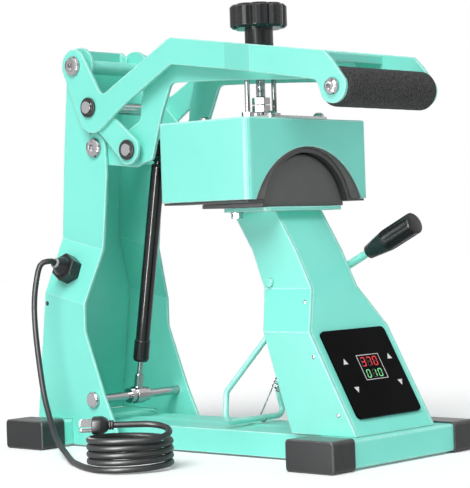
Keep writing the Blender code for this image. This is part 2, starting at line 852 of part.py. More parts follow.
def make_head_arm():
    """Two goose-neck plates on the lower pivot, a top web with a threaded boss, and the link axle."""
    pivot = (0.0, *LOWER_PIVOT)
    outline = head_outline()
    holes = [circle(LOWER_PIVOT, AXLE_RADIUS + GAP), circle(LINK_PIN, PIN_RADIUS + GAP)]
    for side, sign in SIDES:
        low, high = sorted((sign * HEAD_INNER, sign * HEAD_OUTER))
        plate("head_arm_" + side, outline, holes, low, high, "mint", pivot)

    half = HEAD_INNER - GAP
    rear = at(HEAD_WEB_REAR_share)[0]
    front = at(HEAD_TOP_shares[1])[0]
    outline = [(-half, front), (half, front), (half, rear), (-half, rear)]
    holes = [circle((0.0, RAM_Y), (BOSS_RADIUS + THREAD_RADIUS) / 2)]
    for _, sign in SIDES:
        holes.append(circle((sign * GUIDE_SPACING, RAM_Y), GUIDE_RADIUS + 2 * GAP, 16))
    bm = prism([outline] + holes, -HEAD_WEB, 0.0, along_z)
    for vert in bm.verts:
        vert.co.z += head_top(vert.co.y)
    web = from_bmesh("head_arm_web", bm, "mint", pivot, smooth_deg=25.0)
    high = head_boss_top()
    low = high - BOSS_DEPTH
    bore = THREAD_RADIUS + GAP
    boss = turned([(BOSS_RADIUS, low), (BOSS_RADIUS, high), (bore, high), (bore, low)], closed=True)
    boss.transform(Matrix.Translation((0.0, RAM_Y, 0.0)))
    boolean(web, boss, "web_boss", "UNION")

    end = LINK_INNER - 2 * RUN_GAP
    inner = HEAD_OUTER + GAP
    outer = end - GAP
    profile = [(0, -end), (PIN_RADIUS, -end), (PIN_RADIUS, -outer), (RING_RADIUS, -outer), (RING_RADIUS,
                                                                                            -inner),
               (PIN_RADIUS, -inner), (PIN_RADIUS, inner), (RING_RADIUS, inner), (RING_RADIUS, outer),
               (PIN_RADIUS, outer), (PIN_RADIUS, end), (0, end)]
    bm = stand(turned(profile), (0.0, *LINK_PIN), (1.0, 0.0, 0.0))
    from_bmesh("link_axle", bm, "chrome", pivot)


def arm_offset(y):
    start = at(FLARE_START_share)[0]
    end = at(FLARE_END_share)[0]
    return ARM_FLARE * min(1.0, max(0.0, (start - y) / (start - end)))


def arm_top(y):
    return line_height(at(ARM_SHOULDER_share), at(ARM_NOSE_shares[1]), y)


def arm_outline():
    """The V plate and arm: lobe at the upper pivot, heel at the handle pin, lug at the grip."""
    lobe = arc(UPPER_PIVOT, ARM_LOBE, 150.0, -12.0, 14)
    heel = arc(at(HEEL_share), HEEL_RADIUS, -25.0, -122.0, 9)
    lug = arc(GRIP_AXIS, GRIP_LUG, -35.0, -200.0, 12)
    under = [at(share) for share in ARM_UNDER_shares]
    fillet = ARM_FILLET
    low = rounded([heel[-1]] + under + [lug[0]], [0, fillet, fillet, 0, fillet, fillet, 0])[1:-1]
    nose = [at(share) for share in ARM_NOSE_shares]
    high = rounded([lug[-1]] + nose + [at(ARM_SHOULDER_share), at(ARM_NOTCH_share), lobe[0]],
                   [0, 0, fillet * 0.7, fillet * 1.5, fillet, 0])[1:-1]
    return lobe + [at(ARM_REAR_share)] + heel + low + lug + high


def make_handle():
    """The handle frame: V plates on the upper pivot whose arms flare out to the foam grip."""
    pivot = (0.0, *UPPER_PIVOT)
    outline = arm_outline()
    hole = BOLT_SHANK + GAP
    holes = [circle(UPPER_PIVOT, hole, 16), circle(HANDLE_PIN, PIN_RADIUS + GAP), circle(GRIP_AXIS, hole,
                                                                                         16)]
    for side, sign in SIDES:
        def bend(bm, sign=sign):
            for share in (FLARE_START_share, FLARE_END_share):
                cut_at(bm, (0.0, *at(share)), (0.0, 1.0, 0.0))
            for vert in bm.verts:
                vert.co.x += sign * arm_offset(vert.co.y)
        low, high = sorted((sign * ARM_INNER, sign * ARM_OUTER))
        plate("handle_arm_" + side, outline, holes, low, high, "mint", pivot, bend)

    inside = ARM_INNER + ARM_FLARE - GAP
    rear = at(WEB_REAR_share)[0]
    front = at(WEB_FRONT_share)[0]
    lip = front + WEB_SHEET
    high = [arm_top(y) - WEB_INSET for y in (rear, front, lip)]
    outline = [(rear, high[0]), (front, high[1]), (front, high[1] - WEB_LIP), (lip, high[2] - WEB_LIP),
               (lip, high[2] - WEB_SHEET), (rear, high[0] - WEB_SHEET)]
    plate("handle_web", outline, [], -inside, inside, "mint", pivot)

    seat = ARM_OUTER + GAP
    outer = seat + RING_WIDTH + PIN_END
    ring = seat + RING_WIDTH
    half = [(PIN_RADIUS, seat), (RING_RADIUS, seat), (RING_RADIUS, ring), (PIN_RADIUS, ring),
            (PIN_RADIUS, outer), (0, outer)]
    profile = [(radius, -x) for radius, x in half[::-1]] + half
    bm = stand(turned(profile), (0.0, *HANDLE_PIN), (1.0, 0.0, 0.0))
    from_bmesh("handle_pin", bm, "chrome", pivot)
    rod("handle_tube", GRIP_AXIS, -inside, inside, GRIP_TUBE, "steel", pivot, bore=hole)
    bore = GRIP_TUBE + GAP
    length = 2 * inside
    edge = GRIP_EDGE
    profile = [(bore, 0.0), (GRIP_RADIUS - edge, 0.0), (GRIP_RADIUS, edge), (GRIP_RADIUS, length - edge),
               (GRIP_RADIUS - edge, length), (bore, length)]
    bm = stand(turned(profile, 32, closed=True), (-inside, *GRIP_AXIS), (1.0, 0.0, 0.0))
    from_bmesh("foam_grip", bm, "foam", pivot)
    seat = ARM_OUTER + ARM_FLARE + GAP
    through_bolt("handle_bolt", GRIP_AXIS, seat, GRIP_BOLT_HEAD, pivot)


def make_links():
    """The two toggle links between the handle pin and the head arm's axle."""
    pivot = (0.0, *HANDLE_PIN)
    top = Vector(HANDLE_PIN)
    low = Vector(LINK_PIN)
    run = (top - low).normalized()
    side = Vector((-run.y, run.x))
    lean = math.degrees(math.atan2(run.y, run.x))
    middle = (top + low) / 2
    waist = LINK_WAIST
    outline = arc(HANDLE_PIN, LINK_LOBE, lean - 75.0, lean + 75.0, 12)
    outline += [tuple(middle + side * waist)]
    outline += arc(LINK_PIN, LINK_LOBE, lean + 105.0, lean + 255.0, 12)
    outline += [tuple(middle - side * waist)]
    bore = PIN_RADIUS + GAP
    for word, sign in SIDES:
        inner, outer = sorted((sign * LINK_INNER, sign * LINK_OUTER))
        holes = [circle(HANDLE_PIN, bore), circle(LINK_PIN, bore)]
        plate("link_" + word, outline, holes, inner, outer, "mint", pivot)
    near = LINK_PLATE + GAP
    ring = near + RING_WIDTH
    end = ring + PIN_END / 2
    profile = [(0, 0.0), (PIN_RADIUS, 0.0), (PIN_RADIUS, near), (RING_RADIUS, near), (RING_RADIUS, ring),
               (PIN_RADIUS, ring), (PIN_RADIUS, end), (0, end)]
    for word, sign in SIDES:
        bm = stand(turned(profile), (sign * LINK_INNER, *LINK_PIN), (sign, 0.0, 0.0))
        from_bmesh("link_pin_" + word, bm, "chrome", pivot)


def ring_on_axle(outer, bore, half, centre):
    profile = [(outer, -half), (outer, half), (bore, half), (bore, -half)]
    return stand(turned(profile, closed=True), centre, (1.0, 0.0, 0.0))


def make_gas_spring():
    """The gas spring: eye and cylinder on the head's axle, rod and fitting on the cross rod."""
    top = Vector((0.0, *LINK_PIN))
    foot = Vector((0.0, *GAS_FOOT))
    span = (foot - top).length
    axis = (foot - top).normalized()
    bore = PIN_RADIUS + GAS_EYE_CLEARANCE
    made = from_bmesh("gas_cylinder", ring_on_axle(GAS_EYE, bore, GAS_EYE_HALF, top), "black", tuple(top))
    start = (GAS_EYE + bore) / 2
    shoulder = span * GAS_SHOULDER_share
    sleeve = span * GAS_SLEEVE_share
    end = span * GAS_SLEEVE_END_share
    inside = span * GAS_BORE_TOP_share
    hole = GAS_ROD + GAP
    profile = [
        (0, start), (GAS_NECK, start), (GAS_NECK, shoulder), (GAS_RADIUS * 0.85, shoulder),
        (GAS_RADIUS, shoulder + GAS_RADIUS * 0.3), (GAS_RADIUS, sleeve), (GAS_SLEEVE_RADIUS, sleeve),
        (GAS_SLEEVE_RADIUS, end - GAS_ROD), (GAS_SLEEVE_RADIUS * 0.85, end), (hole, end),
        (hole, inside), (0, inside),
    ]
    boolean(made, stand(turned(profile), top, axis), "gas_tube", "UNION")

    bore = CROSS_ROD + GAP
    made = from_bmesh("gas_rod", ring_on_axle(FOOT_EYE, bore, GAS_EYE_HALF, foot), "chrome", tuple(foot))
    start = (FOOT_EYE + bore) / 2
    fitting = span * GAS_FITTING_share
    length = span - span * GAS_ROD_TOP_share
    profile = [(0, start), (GAS_FITTING, start), (GAS_FITTING, fitting), (GAS_ROD, fitting), (GAS_ROD,
                                                                                              length),
               (0, length)]
    boolean(made, stand(turned(profile, 20), foot, -axis), "gas_stem", "UNION")

    inner = GAS_EYE_HALF + GAP
    collar = inner + COLLAR_LENGTH
    seat = COLUMN_OUTER + COLUMN_FLARE + GAP
    end = seat + CROSS_HEAD_WIDTH
    half = [(CROSS_ROD, inner), (COLLAR_RADIUS, inner), (COLLAR_RADIUS, collar), (CROSS_ROD, collar),
            (CROSS_ROD, seat), (CROSS_HEAD, seat), (CROSS_HEAD, end - CROSS_HEAD_WIDTH / 3),
            (CROSS_HEAD * 0.85, end), (0, end)]
    profile = [(radius, -x) for radius, x in half[::-1]] + half
    from_bmesh("gas_cross_rod", stand(turned(profile), (0.0, *GAS_FOOT), (1.0, 0.0, 0.0)), "chrome")


def arch_points(radius, bottom, steps=28):
    """An arch about the form's axis, from its right foot to its left."""
    foot = math.degrees(math.asin((bottom - FORM_AXIS_Z) / radius))
    return arc((0.0, FORM_AXIS_Z), radius, foot, 180.0 - foot, steps)


def make_housing():
    """The heater's sheet housing: a box open below, its front and back cut by the arch."""
    wall = HOUSING_WALL
    top = HOUSING_TOP
    corner = HOUSING_CORNER

    def ring(inset, z):
        x = HOUSING_HALF_WIDTH - inset
        y = HOUSING_HALF_DEPTH - inset
        points = rounded([(-x, -y), (x, -y), (x, y), (-x, y)], [corner - inset] * 4, 4)
        return [(u, v + HEATER_Y, z) for u, v in points]
    rows = [ring(wall, top - wall), ring(wall, HOUSING_BOTTOM), ring(0.0, HOUSING_BOTTOM),
            ring(0.0, top - wall / 2), ring(wall / 2, top)]
    made = from_bmesh("heater_housing", skin(rows), "mint", smooth_deg=30.0)
    low = HOUSING_BOTTOM - wall
    centre = (0.0, HOUSING_BOTTOM - ARCH_DROP)
    foot = math.degrees(math.asin(ARCH_DROP / ARCH_RADIUS))
    arch = arc(centre, ARCH_RADIUS, foot, 180.0 - foot, 28)
    outline = [(arch[0][0], low)] + arch + [(arch[-1][0], low)]
    reach = HOUSING_HALF_DEPTH + wall
    tool = prism([outline], HEATER_Y - reach, HEATER_Y + reach, along_y)
    boolean(made, tool, "arch_cutter", "DIFFERENCE")


def make_heater():
    """The curved heating platen, its element, the steel plate above and what is fixed to it."""
    make_housing()
    low = HOUSING_BOTTOM - GAP - PLATEN_FLANGE
    high = HOUSING_BOTTOM - GAP
    inner = FORM_RADIUS + PRESS_GAP
    outer = inner + PLATEN_THICK
    reach = PLATEN_FLANGE_REACH
    inside = arch_points(inner, low)
    outside = arch_points(outer, high)
    outline = [(reach, low)] + inside + [(-reach, low), (-reach, high)] + outside[::-1] + [(reach, high)]
    half = HOUSING_HALF_DEPTH - PLATEN_END
    bm = prism([outline], HEATER_Y - half, HEATER_Y + half, along_y)
    from_bmesh("heater_platen", bm, "steel", smooth_deg=30.0)
    cover = arch_points(outer + GAP, HOUSING_BOTTOM)
    top = HOUSING_BOTTOM + ELEMENT_HEIGHT
    reach = ELEMENT_REACH
    shell = rounded([cover[-1], (-reach, HOUSING_BOTTOM), (-reach, top), (reach, top), (reach,
                                                                                        HOUSING_BOTTOM)],
                    [0, 0, ELEMENT_FILLET, ELEMENT_FILLET, 0])
    half = HOUSING_HALF_DEPTH - ELEMENT_END
    bm = prism([cover + shell[1:]], HEATER_Y - half, HEATER_Y + half, along_y)
    from_bmesh("heating_element", bm, "felt", smooth_deg=30.0)

    base = HOUSING_TOP + GAP
    x = PLATE_HALF_WIDTH
    y = PLATE_HALF_DEPTH
    outline = rounded([(-x, -y), (x, -y), (x, y), (-x, y)], [CAP_CORNER] * 4)
    outline = [(u, v + RAM_Y) for u, v in outline]
    from_bmesh("pressure_plate", prism([outline], base, base + PLATE_THICK, along_z), "steel",
               smooth_deg=25.0)
    seat = base + PLATE_THICK + GAP
    end = head_top(RAM_Y) + GUIDE_ABOVE - seat
    nut = GUIDE_NUT_HEIGHT
    for word, sx in SIDES:
        profile = [(0, 0.0), (GUIDE_FLANGE, 0.0), (GUIDE_FLANGE, nut * 0.25),
                   (hexagon(GUIDE_NUT), nut * 0.25), (hexagon(GUIDE_NUT), nut), (GUIDE_RADIUS, nut),
                   (GUIDE_RADIUS, end - GUIDE_RADIUS / 2), (GUIDE_RADIUS / 2, end), (0, end)]
        bm = stand(turned(profile, 18), (sx * GUIDE_SPACING, RAM_Y, seat), (0.0, 0.0, 1.0))
        from_bmesh("guide_rod_" + word, bm, "chrome")


def knob_lobes(inset):
    """Eight round lobes with narrow grooves between them, shrunk by the inset."""
    def radius(angle):
        wave = abs(math.cos(KNOB_LOBES * angle / 2))
        return KNOB_RADIUS - KNOB_GROOVE * (1.0 - wave ** 0.6) - inset
    return radius


def make_knob():
    """The pressure knob with its collar, and the threaded rod that it turns."""
    base = head_boss_top() + GAP
    low = base + KNOB_LIFT
    top = low + KNOB_HEIGHT
    collar = low - COLLAR_HEIGHT
    bore = THREAD_RADIUS + GAP
    roof = base + KNOB_BORE_DEPTH
    profile = [
        (0, roof), (bore, roof), (bore, base),
        (COLLAR_NECK, base), (COLLAR_NECK, collar), (COLLAR_OUTER, collar),
        (COLLAR_OUTER, low), (knob_lobes(KNOB_EDGE), low), (knob_lobes(0.0), low + KNOB_EDGE),
        (knob_lobes(0.0), top - KNOB_EDGE), (knob_lobes(KNOB_EDGE), top), (0, top),
    ]
    bm = turned(profile, KNOB_LOBES * 6)
    bm.transform(Matrix.Translation((0.0, RAM_Y, 0.0)))
    pivot = (0.0, RAM_Y, low)
    from_bmesh("pressure_knob", bm, "black", pivot)
    start = HOUSING_TOP + 2 * GAP + PLATE_THICK
    nut = start + ROD_NUT_LIFT
    middle = nut + ROD_NUT_HEIGHT
    thread = THREAD_RADIUS
    lock = middle + 2 * RUN_GAP
    profile = [
        (0, start), (thread, start), (thread, nut), (hexagon(ROD_NUT), nut), (hexagon(ROD_NUT), middle),
        (thread, middle), (thread, lock),
        (hexagon(ROD_NUT), lock), (hexagon(ROD_NUT), lock + ROD_NUT_HEIGHT),
        (thread, lock + ROD_NUT_HEIGHT), (thread, roof - GAP), (0, roof - GAP),
    ]
    bm = turned(profile, 24)
    bm.transform(Matrix.Translation((0.0, RAM_Y, 0.0)))
    from_bmesh("pressure_screw", bm, "chrome", pivot)


def make_form():
    """The curved lower form under its rubber pad, on a bracket with four bolts."""
    centre = at(FORM_CENTRE_share)[0]
    front = centre - FORM_HALF_DEPTH
    rear = centre + FORM_HALF_DEPTH
    seat = HOUSING_BOTTOM - FORM_SEAT
    step = HOUSING_BOTTOM - FORM_STEP
    core = arch_points(FORM_RADIUS - FORM_PAD, step)
    ledge = FORM_RADIUS - FORM_LEDGE
    outline = [(ledge, seat), (ledge, step)] + core + [(-ledge, step), (-ledge, seat)]
    from_bmesh("lower_form", prism([outline], front, rear, along_y), "steel", smooth_deg=30.0)
    low = step + GAP
    outline = arch_points(FORM_RADIUS, low) + arch_points(FORM_RADIUS - FORM_PAD + GAP, low)[::-1]
    from_bmesh("form_pad", prism([outline], front, rear, along_y), "black", smooth_deg=30.0)

    high = seat - GAP
    under = high - BRACKET_THICK
    half = BRACKET_HALF
    front = at(BRACKET_FRONT_share)[0]
    rear = at(BRACKET_REAR_share)[0]
    outline = rounded([(-half, front), (half, front), (half, rear), (-half, rear)], [BRACKET_CORNER] * 4)
    from_bmesh("form_bracket", prism([outline], under, high, along_z), "mint", smooth_deg=25.0)
    return under


def pedestal_offset(z):
    low = at(PEDESTAL_FRONT_shares[0])[1]
    high = at(PEDESTAL_FRONT_shares[1])[1]
    return PEDESTAL_FLARE * min(1.0, max(0.0, (high - z) / (high - low)))


def fold_pedestal(bm, sign=None):
    for share in PEDESTAL_FRONT_shares[:2]:
        cut_at(bm, (0.0, *at(share)), (0.0, 0.0, 1.0))
    for vert in bm.verts:
        way = math.copysign(1.0, vert.co.x) if sign is None else sign
        vert.co.x += way * pedestal_offset(vert.co.z)


def front_line(top):
    """The pedestal's front edge from its foot up to the bracket."""
    foot = (at(PEDESTAL_FRONT_FOOT_share)[0], seat_height())
    points = [at(share) for share in PEDESTAL_FRONT_shares]
    return [foot] + points[:-1] + [(points[-1][0], top)]


def make_pedestal(top):
    """The pedestal: two side plates that flare below, and a folded front between them."""
    rear = [at(share) for share in PEDESTAL_REAR_shares]
    rear = [(rear[0][0], top)] + rear[1:] + [(at(PEDESTAL_REAR_FOOT_share)[0], seat_height())]
    front = front_line(top)
    holes = [circle(LEVER_AXIS, SHAFT_RADIUS + GAP, 16)]
    sheet = PEDESTAL_SHEET
    for side, sign in SIDES:
        low, high = sorted((sign * (PEDESTAL_HALF - sheet), sign * PEDESTAL_HALF))
        plate("pedestal_side_" + side, rear + front, holes, low, high, "mint",
              bend=lambda bm, sign=sign: fold_pedestal(bm, sign))
    seat = seat_height()
    flange = at(PEDESTAL_FLANGE_share)[0]
    back = [(y + sheet, z) for y, z in front[1:]]
    inner_foot = (line_y(front[0], front[1], seat + sheet) + sheet, seat + sheet)
    outline = front + back[::-1] + [inner_foot, (flange, seat + sheet), (flange, seat)]
    half = PEDESTAL_HALF - sheet - GAP
    bm = prism([outline], -half, half, along_x)
    fold_pedestal(bm)
    from_bmesh("pedestal_front", bm, "mint", smooth_deg=20.0)


def line_y(first, last, z):
    return first[0] + (last[0] - first[0]) * (z - first[1]) / (last[1] - first[1])


def make_panel(top):
    """The control panel on the lower front face, and the controller board behind it."""
    low_point, high_point = front_line(top)[:2]
    foot = Vector((0.0, *low_point))
    up = Vector((0.0, *high_point)) - foot
    length = up.length
    up.normalize()
    out = Vector((0.0, -up.z, up.y))

    def place(u, v, w):
        return tuple(foot + Vector((u, 0.0, 0.0)) + up * v + out * w)
    low = length * PANEL_DOWN_share
    high = length * PANEL_UP_share
    half = PANEL_HALF
    outline = rounded([(-half, low), (half, low), (half, high), (-half, high)], [PANEL_CORNER] * 4)
    from_bmesh("control_panel", prism([outline], GAP, GAP + PANEL_THICK, place), "glass", smooth_deg=25.0)
    behind = PEDESTAL_SHEET * out.y - GAP
    x = BOARD_HALF
    outline = [(-x, low), (x, low), (x, high - BOARD_INSET), (-x, high - BOARD_INSET)]
    outline = rounded(outline, [PANEL_CORNER / 2] * 4)
    bm = prism([outline], behind - BOARD_THICK, behind, place)
    from_bmesh("controller_board", bm, "board", smooth_deg=25.0)


def make_lever():
    """The hold-down lever: one bent bar as shaft and rod, and the black grip on its end."""
    pivot = (0.0, *LEVER_AXIS)
    x = PEDESTAL_HALF + LEVER_OUT
    bend = Vector((x, *at(LEVER_BEND_share)))
    tip = Vector((x, *at(LEVER_TIP_share)))
    end = bend.lerp(tip, LEVER_ROD_END_share)
    corners = [(-PEDESTAL_HALF - SHAFT_LEFT, *LEVER_AXIS), (x, *LEVER_AXIS), bend, end]
    curve_tube("lever_rod", bent_path(corners, LEVER_FILLET, 5), SHAFT_RADIUS, "chrome", 4, pivot)
    way = (tip - bend).normalized()
    start = bend.lerp(tip, LEVER_GRIP_START_share)
    length = (tip - start).length
    depth = (end - start).length + GAP
    bore = SHAFT_RADIUS + GAP
    thin = LEVER_GRIP_THIN
    thick = LEVER_GRIP_THICK
    profile = [
        (0, depth), (bore, depth), (bore, 0.0), (thin * 1.15, 0.0), (thin * 1.15, thin * 0.5),
        (thin, thin * 0.8), (thin, thin * 1.6), (thick * 0.80, length * 0.40), (thick, length * 0.78),
        (thick * 0.95, length * 0.90), (thick * 0.65, length * 0.98), (0, length),
    ]
    from_bmesh("lever_grip", stand(turned(profile), start, way), "black", pivot)


def make_bail():
    """The wire bail that hangs from the lever's shaft, with the spring that pulls it back."""
    pivot = (0.0, *LEVER_AXIS)
    top = (LEVER_AXIS[0], LEVER_AXIS[1] - SHAFT_RADIUS - GAP - GAP)
    bead_top = tube_top() - BEAM_DROP + BEAD_HEIGHT
    foot = (at(BAIL_FOOT_share)[0], max(at(BAIL_FOOT_share)[1], bead_top + BAIL_WIRE + BAIL_CLEAR))
    leg = [(BAIL_TOP_X, top), (BAIL_TOP_X, at(BAIL_KNEE_share)), (BAIL_BEND_X, at(BAIL_BEND_share)),
           (BAIL_FOOT_X, foot)]
    corners = [(-x, *point) for x, point in leg] + [(x, *point) for x, point in leg[::-1]]
    curve_tube("bail", bent_path(corners, BAIL_FILLET, 5), BAIL_WIRE, "chrome", 3, pivot)
    make_spring(Vector((SPRING_X, *foot)), Vector((SPRING_X, *ANCHOR)))
    slope = PEDESTAL_FLARE / (at(PEDESTAL_FRONT_shares[1])[1] - at(PEDESTAL_FRONT_shares[0])[1])
    half = PEDESTAL_HALF - PEDESTAL_SHEET + pedestal_offset(ANCHOR[1]) - GAP - ANCHOR_RADIUS * slope
    rod("spring_anchor", ANCHOR, -half, half, ANCHOR_RADIUS, "steel", steps=16)


def make_spring(bar, anchor):
    """A tension spring as one unbroken wire: hook round the bail's bar, curls, hook round the anchor."""
    way = (anchor - bar).normalized()
    span = (anchor - bar).length
    across = Vector((1.0, 0.0, 0.0))
    side = across.cross(way)
    steps = 9
    sag = math.cos(math.pi / (2 * steps))

    def hook(centre, radius, start_deg, end_deg):
        reach = (radius + SPRING_WIRE + GAP) / sag
        points = []
        for index in range(steps + 1):
            angle = math.radians(start_deg + (end_deg - start_deg) * index / steps)
            points.append(centre + (way * math.cos(angle) + side * math.sin(angle)) * reach)
        return points
    points = hook(bar, BAIL_WIRE, 70.0, 270.0)
    total = SPRING_TURNS * steps
    for index in range(total + 1):
        angle = 2 * math.pi * index / steps
        level = span * (SPRING_START_share + (SPRING_END_share - SPRING_START_share) * index / total)
        round_it = across * math.sin(angle) - side * math.cos(angle)
        points.append(bar + way * level + round_it * SPRING_RADIUS)
    points += hook(anchor, ANCHOR_RADIUS, -90.0, 110.0)
    curve_tube("bail_spring", [tuple(point) for point in points], SPRING_WIRE, "chrome", 1)
    pitch = span * (SPRING_END_share - SPRING_START_share) / SPRING_TURNS
    print("bail spring: least gap between curls %.2f mm" % ((pitch - 2 * SPRING_WIRE) * 1000))


def make_gland():
    """The cord's gland in the column's flared side; returns its mouth and its outward way."""
    base, out = gland_frame()
    bore = CORD_RADIUS + GAP
    low = GAP
    high = low + GLAND_HEX_HEIGHT
    end = GLAND_LENGTH
    dome = GLAND_DOME
    rest = end - high
    profile = [
        (bore, -GLAND_INSIDE), (GLAND_BODY, -GLAND_INSIDE), (GLAND_BODY, low), (hexagon(GLAND_HEX), low),
        (hexagon(GLAND_HEX), high), (dome, high),
        (dome, high + rest * 0.3), (dome * 0.85, high + rest * 0.55),
        (dome * 0.6, high + rest * 0.8), (GLAND_MOUTH, end), (bore, end),
    ]
    from_bmesh("cord_gland", stand(turned(profile, 24, closed=True), base, out), "black")
    return base + out * end, out


def make_cord():
    """The mains cord: down from the gland, along the floor, round in a coil, and out to the plug."""
    mouth, out = make_gland()
    thick = 2 * CORD_RADIUS
    lie = CORD_RADIUS + CORD_LIFT
    pitch = thick + COIL_GAP
    start_angle = math.radians(COIL_START_DEG)
    centre = spot(COIL_CENTRE_share)
    centre.z = lie

    def coil_point(angle):
        rise = pitch * (angle - start_angle) / (2 * math.pi)
        return centre + Vector((COIL_RADIUS * math.cos(angle), COIL_RADIUS * math.sin(angle), rise))
    coil = [coil_point(start_angle + 2 * math.pi * index / COIL_STEPS) for index in range(COIL_COUNT + 1)]
    lead = Vector((-math.sin(start_angle), math.cos(start_angle), 0.0))
    last_angle = start_angle + 2 * math.pi * COIL_COUNT / COIL_STEPS
    heading = Vector((-math.sin(last_angle), math.cos(last_angle), 0.0))
    coil = [coil[0] - lead * thick] + coil + [coil[-1] + heading * thick]

    join = coil[0] - lead * GAP
    route = [mouth, mouth + out * thick]
    for share in CORD_ROUTE_shares:
        point = spot(share)
        point.z = max(point.z, lie)
        route.append(point)
    route += [join - lead * thick * 2, join]
    drop, drop_length = smooth_path(route, 32)
    drop = [point for point in drop if (point - join).length > thick * 1.6]
    drop[0] = mouth
    for point in drop:
        point.z = max(point.z, lie)
    drop = [mouth - out * (GLAND_LENGTH + GLAND_INSIDE / 2)] + drop + [join - lead * thick, join]
    curve_tube("cord_drop", [tuple(point) for point in drop], CORD_RADIUS, "black", 3)
    curve_tube("cord_coil", [tuple(point) for point in coil], CORD_RADIUS, "black", 1)
    least = thick
    for first in range(len(coil)):
        for second in range(first + COIL_STEPS // 2, len(coil)):
            least = min(least, (coil[first] - coil[second]).length - thick)
    print("coil: least gap between loops %.2f mm" % (least * 1000))

    inward = Vector((-heading.y, heading.x, 0.0))
    begin = coil[-1] + heading * GAP
    knee = begin + heading * thick
    entry_angle = math.atan2(-heading.y, -heading.x)
    while entry_angle + 2 * math.pi < last_angle:
        entry_angle += 2 * math.pi
    level = coil_point(entry_angle).z + CORD_RADIUS + GAP + PLUG_HALF_HEIGHT
    tail = [begin, knee]
    hub = knee + inward * TAIL_RADIUS
    for index in range(1, 9):
        turn = math.pi * index / 8
        point = hub - inward * TAIL_RADIUS * math.cos(turn) + heading * TAIL_RADIUS * math.sin(turn)
        part = index / 8
        point.z = knee.z + (level - knee.z) * part * part * (3 - 2 * part)
        tail.append(point)
    across = hub + inward * TAIL_RADIUS
    entry = centre + inward * (across - centre).dot(inward) - heading * TAIL_REACH
    entry.z = level
    tail += [tail[-1].lerp(entry, 0.5), entry]
    curve_tube("cord_tail", [tuple(point) for point in tail], CORD_RADIUS, "black", 3)
    coil_length = sum((b - a).length for a, b in zip(coil, coil[1:]))
    tail_length = sum((b - a).length for a, b in zip(tail, tail[1:]))
    whole = drop_length + coil_length + tail_length
    print("cord: drop %.3f coil %.3f tail %.3f whole %.3f m" % (drop_length, coil_length, tail_length,
                                                                whole))
    make_plug(entry - heading * GAP, -heading)


def make_plug(origin, way):
    """A moulded plug with two flat blades and a round earth pin."""
    side = Vector((-way.y, way.x, 0.0))
    up = Vector((0.0, 0.0, 1.0))
    length = PLUG_LENGTH
    wide = PLUG_HALF_WIDTH
    tall = PLUG_HALF_HEIGHT

    def ring(at_share, half_wide, half_tall):
        points = []
        for index in range(24):
            angle = 2 * math.pi * index / 24
            u = half_wide * math.copysign(abs(math.cos(angle)) ** 0.6, math.cos(angle))
            v = half_tall * math.copysign(abs(math.sin(angle)) ** 0.6, math.sin(angle))
            points.append(tuple(origin + way * length * at_share + side * u + up * v))
        return points
    rows = [
        ring(0.0, PLUG_NECK, PLUG_NECK), ring(0.22, PLUG_NECK, PLUG_NECK), ring(0.40, wide * 0.75,
                                                                                tall * 0.8),
        ring(0.60, wide, tall), ring(0.94, wide, tall), ring(1.0, wide * 0.94, tall * 0.92),
    ]
    made = from_bmesh("plug", skin(rows), "black", smooth_deg=40.0)
    face = origin + way * length
    inside = length / 5
    pins = []
    for sign in (-1.0, 1.0):
        centre = face + side * sign * BLADE_SPACING + up * BLADE_LIFT
        rings = []
        for reach, trim in ((-inside, 1.0), (BLADE_LENGTH * 0.85, 1.0), (BLADE_LENGTH, 0.6)):
            rings.append([tuple(centre + way * reach + side * u * BLADE_THICK + up * v * BLADE_HALF * trim)
                          for u, v in ((-1, -1), (1, -1), (1, 1), (-1, 1))])
        pins.append(skin(rings))
    profile = [(0, -inside), (EARTH_PIN, -inside), (EARTH_PIN, BLADE_LENGTH), (EARTH_PIN * 0.5,
                                                                               BLADE_LENGTH * 1.12),
               (0, BLADE_LENGTH * 1.12)]
    pins.append(stand(turned(profile, 16), face - up * EARTH_DROP, way))
    boolean(made, merged(pins), "plug_pins", "UNION")


def main():
    clear_scene()
    make_feet()
    make_beam()
    make_column()
    make_column_pivots()
    make_head_arm()
    make_handle()
    make_links()
    make_gas_spring()
    make_heater()
    make_knob()
    top = make_form() - GAP
    make_pedestal(top)
    make_panel(top)
    make_lever()
    make_bail()
    make_cord()


main()
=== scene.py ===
# %% [markdown]
# # A clamshell heat press for caps, in a mint powder coat
#
# The press stands on two square tubes. A folded column carries the head and its toggle handle,
# and a pedestal carries the curved form that a cap front is pulled over.
# The solids come from the imported CAD model. The scene
# adds what CAD can't show: finishes, foam, the wound cord, screws, threads and the lit display.

# %% Load the frame
import math
import bmesh
import bpy
from mathutils import Matrix, Vector


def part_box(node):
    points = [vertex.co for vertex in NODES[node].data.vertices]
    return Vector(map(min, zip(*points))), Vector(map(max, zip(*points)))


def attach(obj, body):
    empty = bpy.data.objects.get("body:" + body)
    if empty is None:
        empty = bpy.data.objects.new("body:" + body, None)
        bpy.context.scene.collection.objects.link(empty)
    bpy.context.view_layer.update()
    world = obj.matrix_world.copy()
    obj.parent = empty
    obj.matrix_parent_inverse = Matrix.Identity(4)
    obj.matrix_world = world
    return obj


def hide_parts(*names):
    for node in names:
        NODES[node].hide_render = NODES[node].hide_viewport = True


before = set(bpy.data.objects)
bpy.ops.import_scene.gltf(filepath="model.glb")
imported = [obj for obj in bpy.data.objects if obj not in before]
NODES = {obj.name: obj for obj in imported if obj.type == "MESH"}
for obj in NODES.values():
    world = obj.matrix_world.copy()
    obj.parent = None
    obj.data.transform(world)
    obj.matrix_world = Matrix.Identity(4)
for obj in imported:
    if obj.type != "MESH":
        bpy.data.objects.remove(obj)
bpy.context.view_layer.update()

MM = 0.001
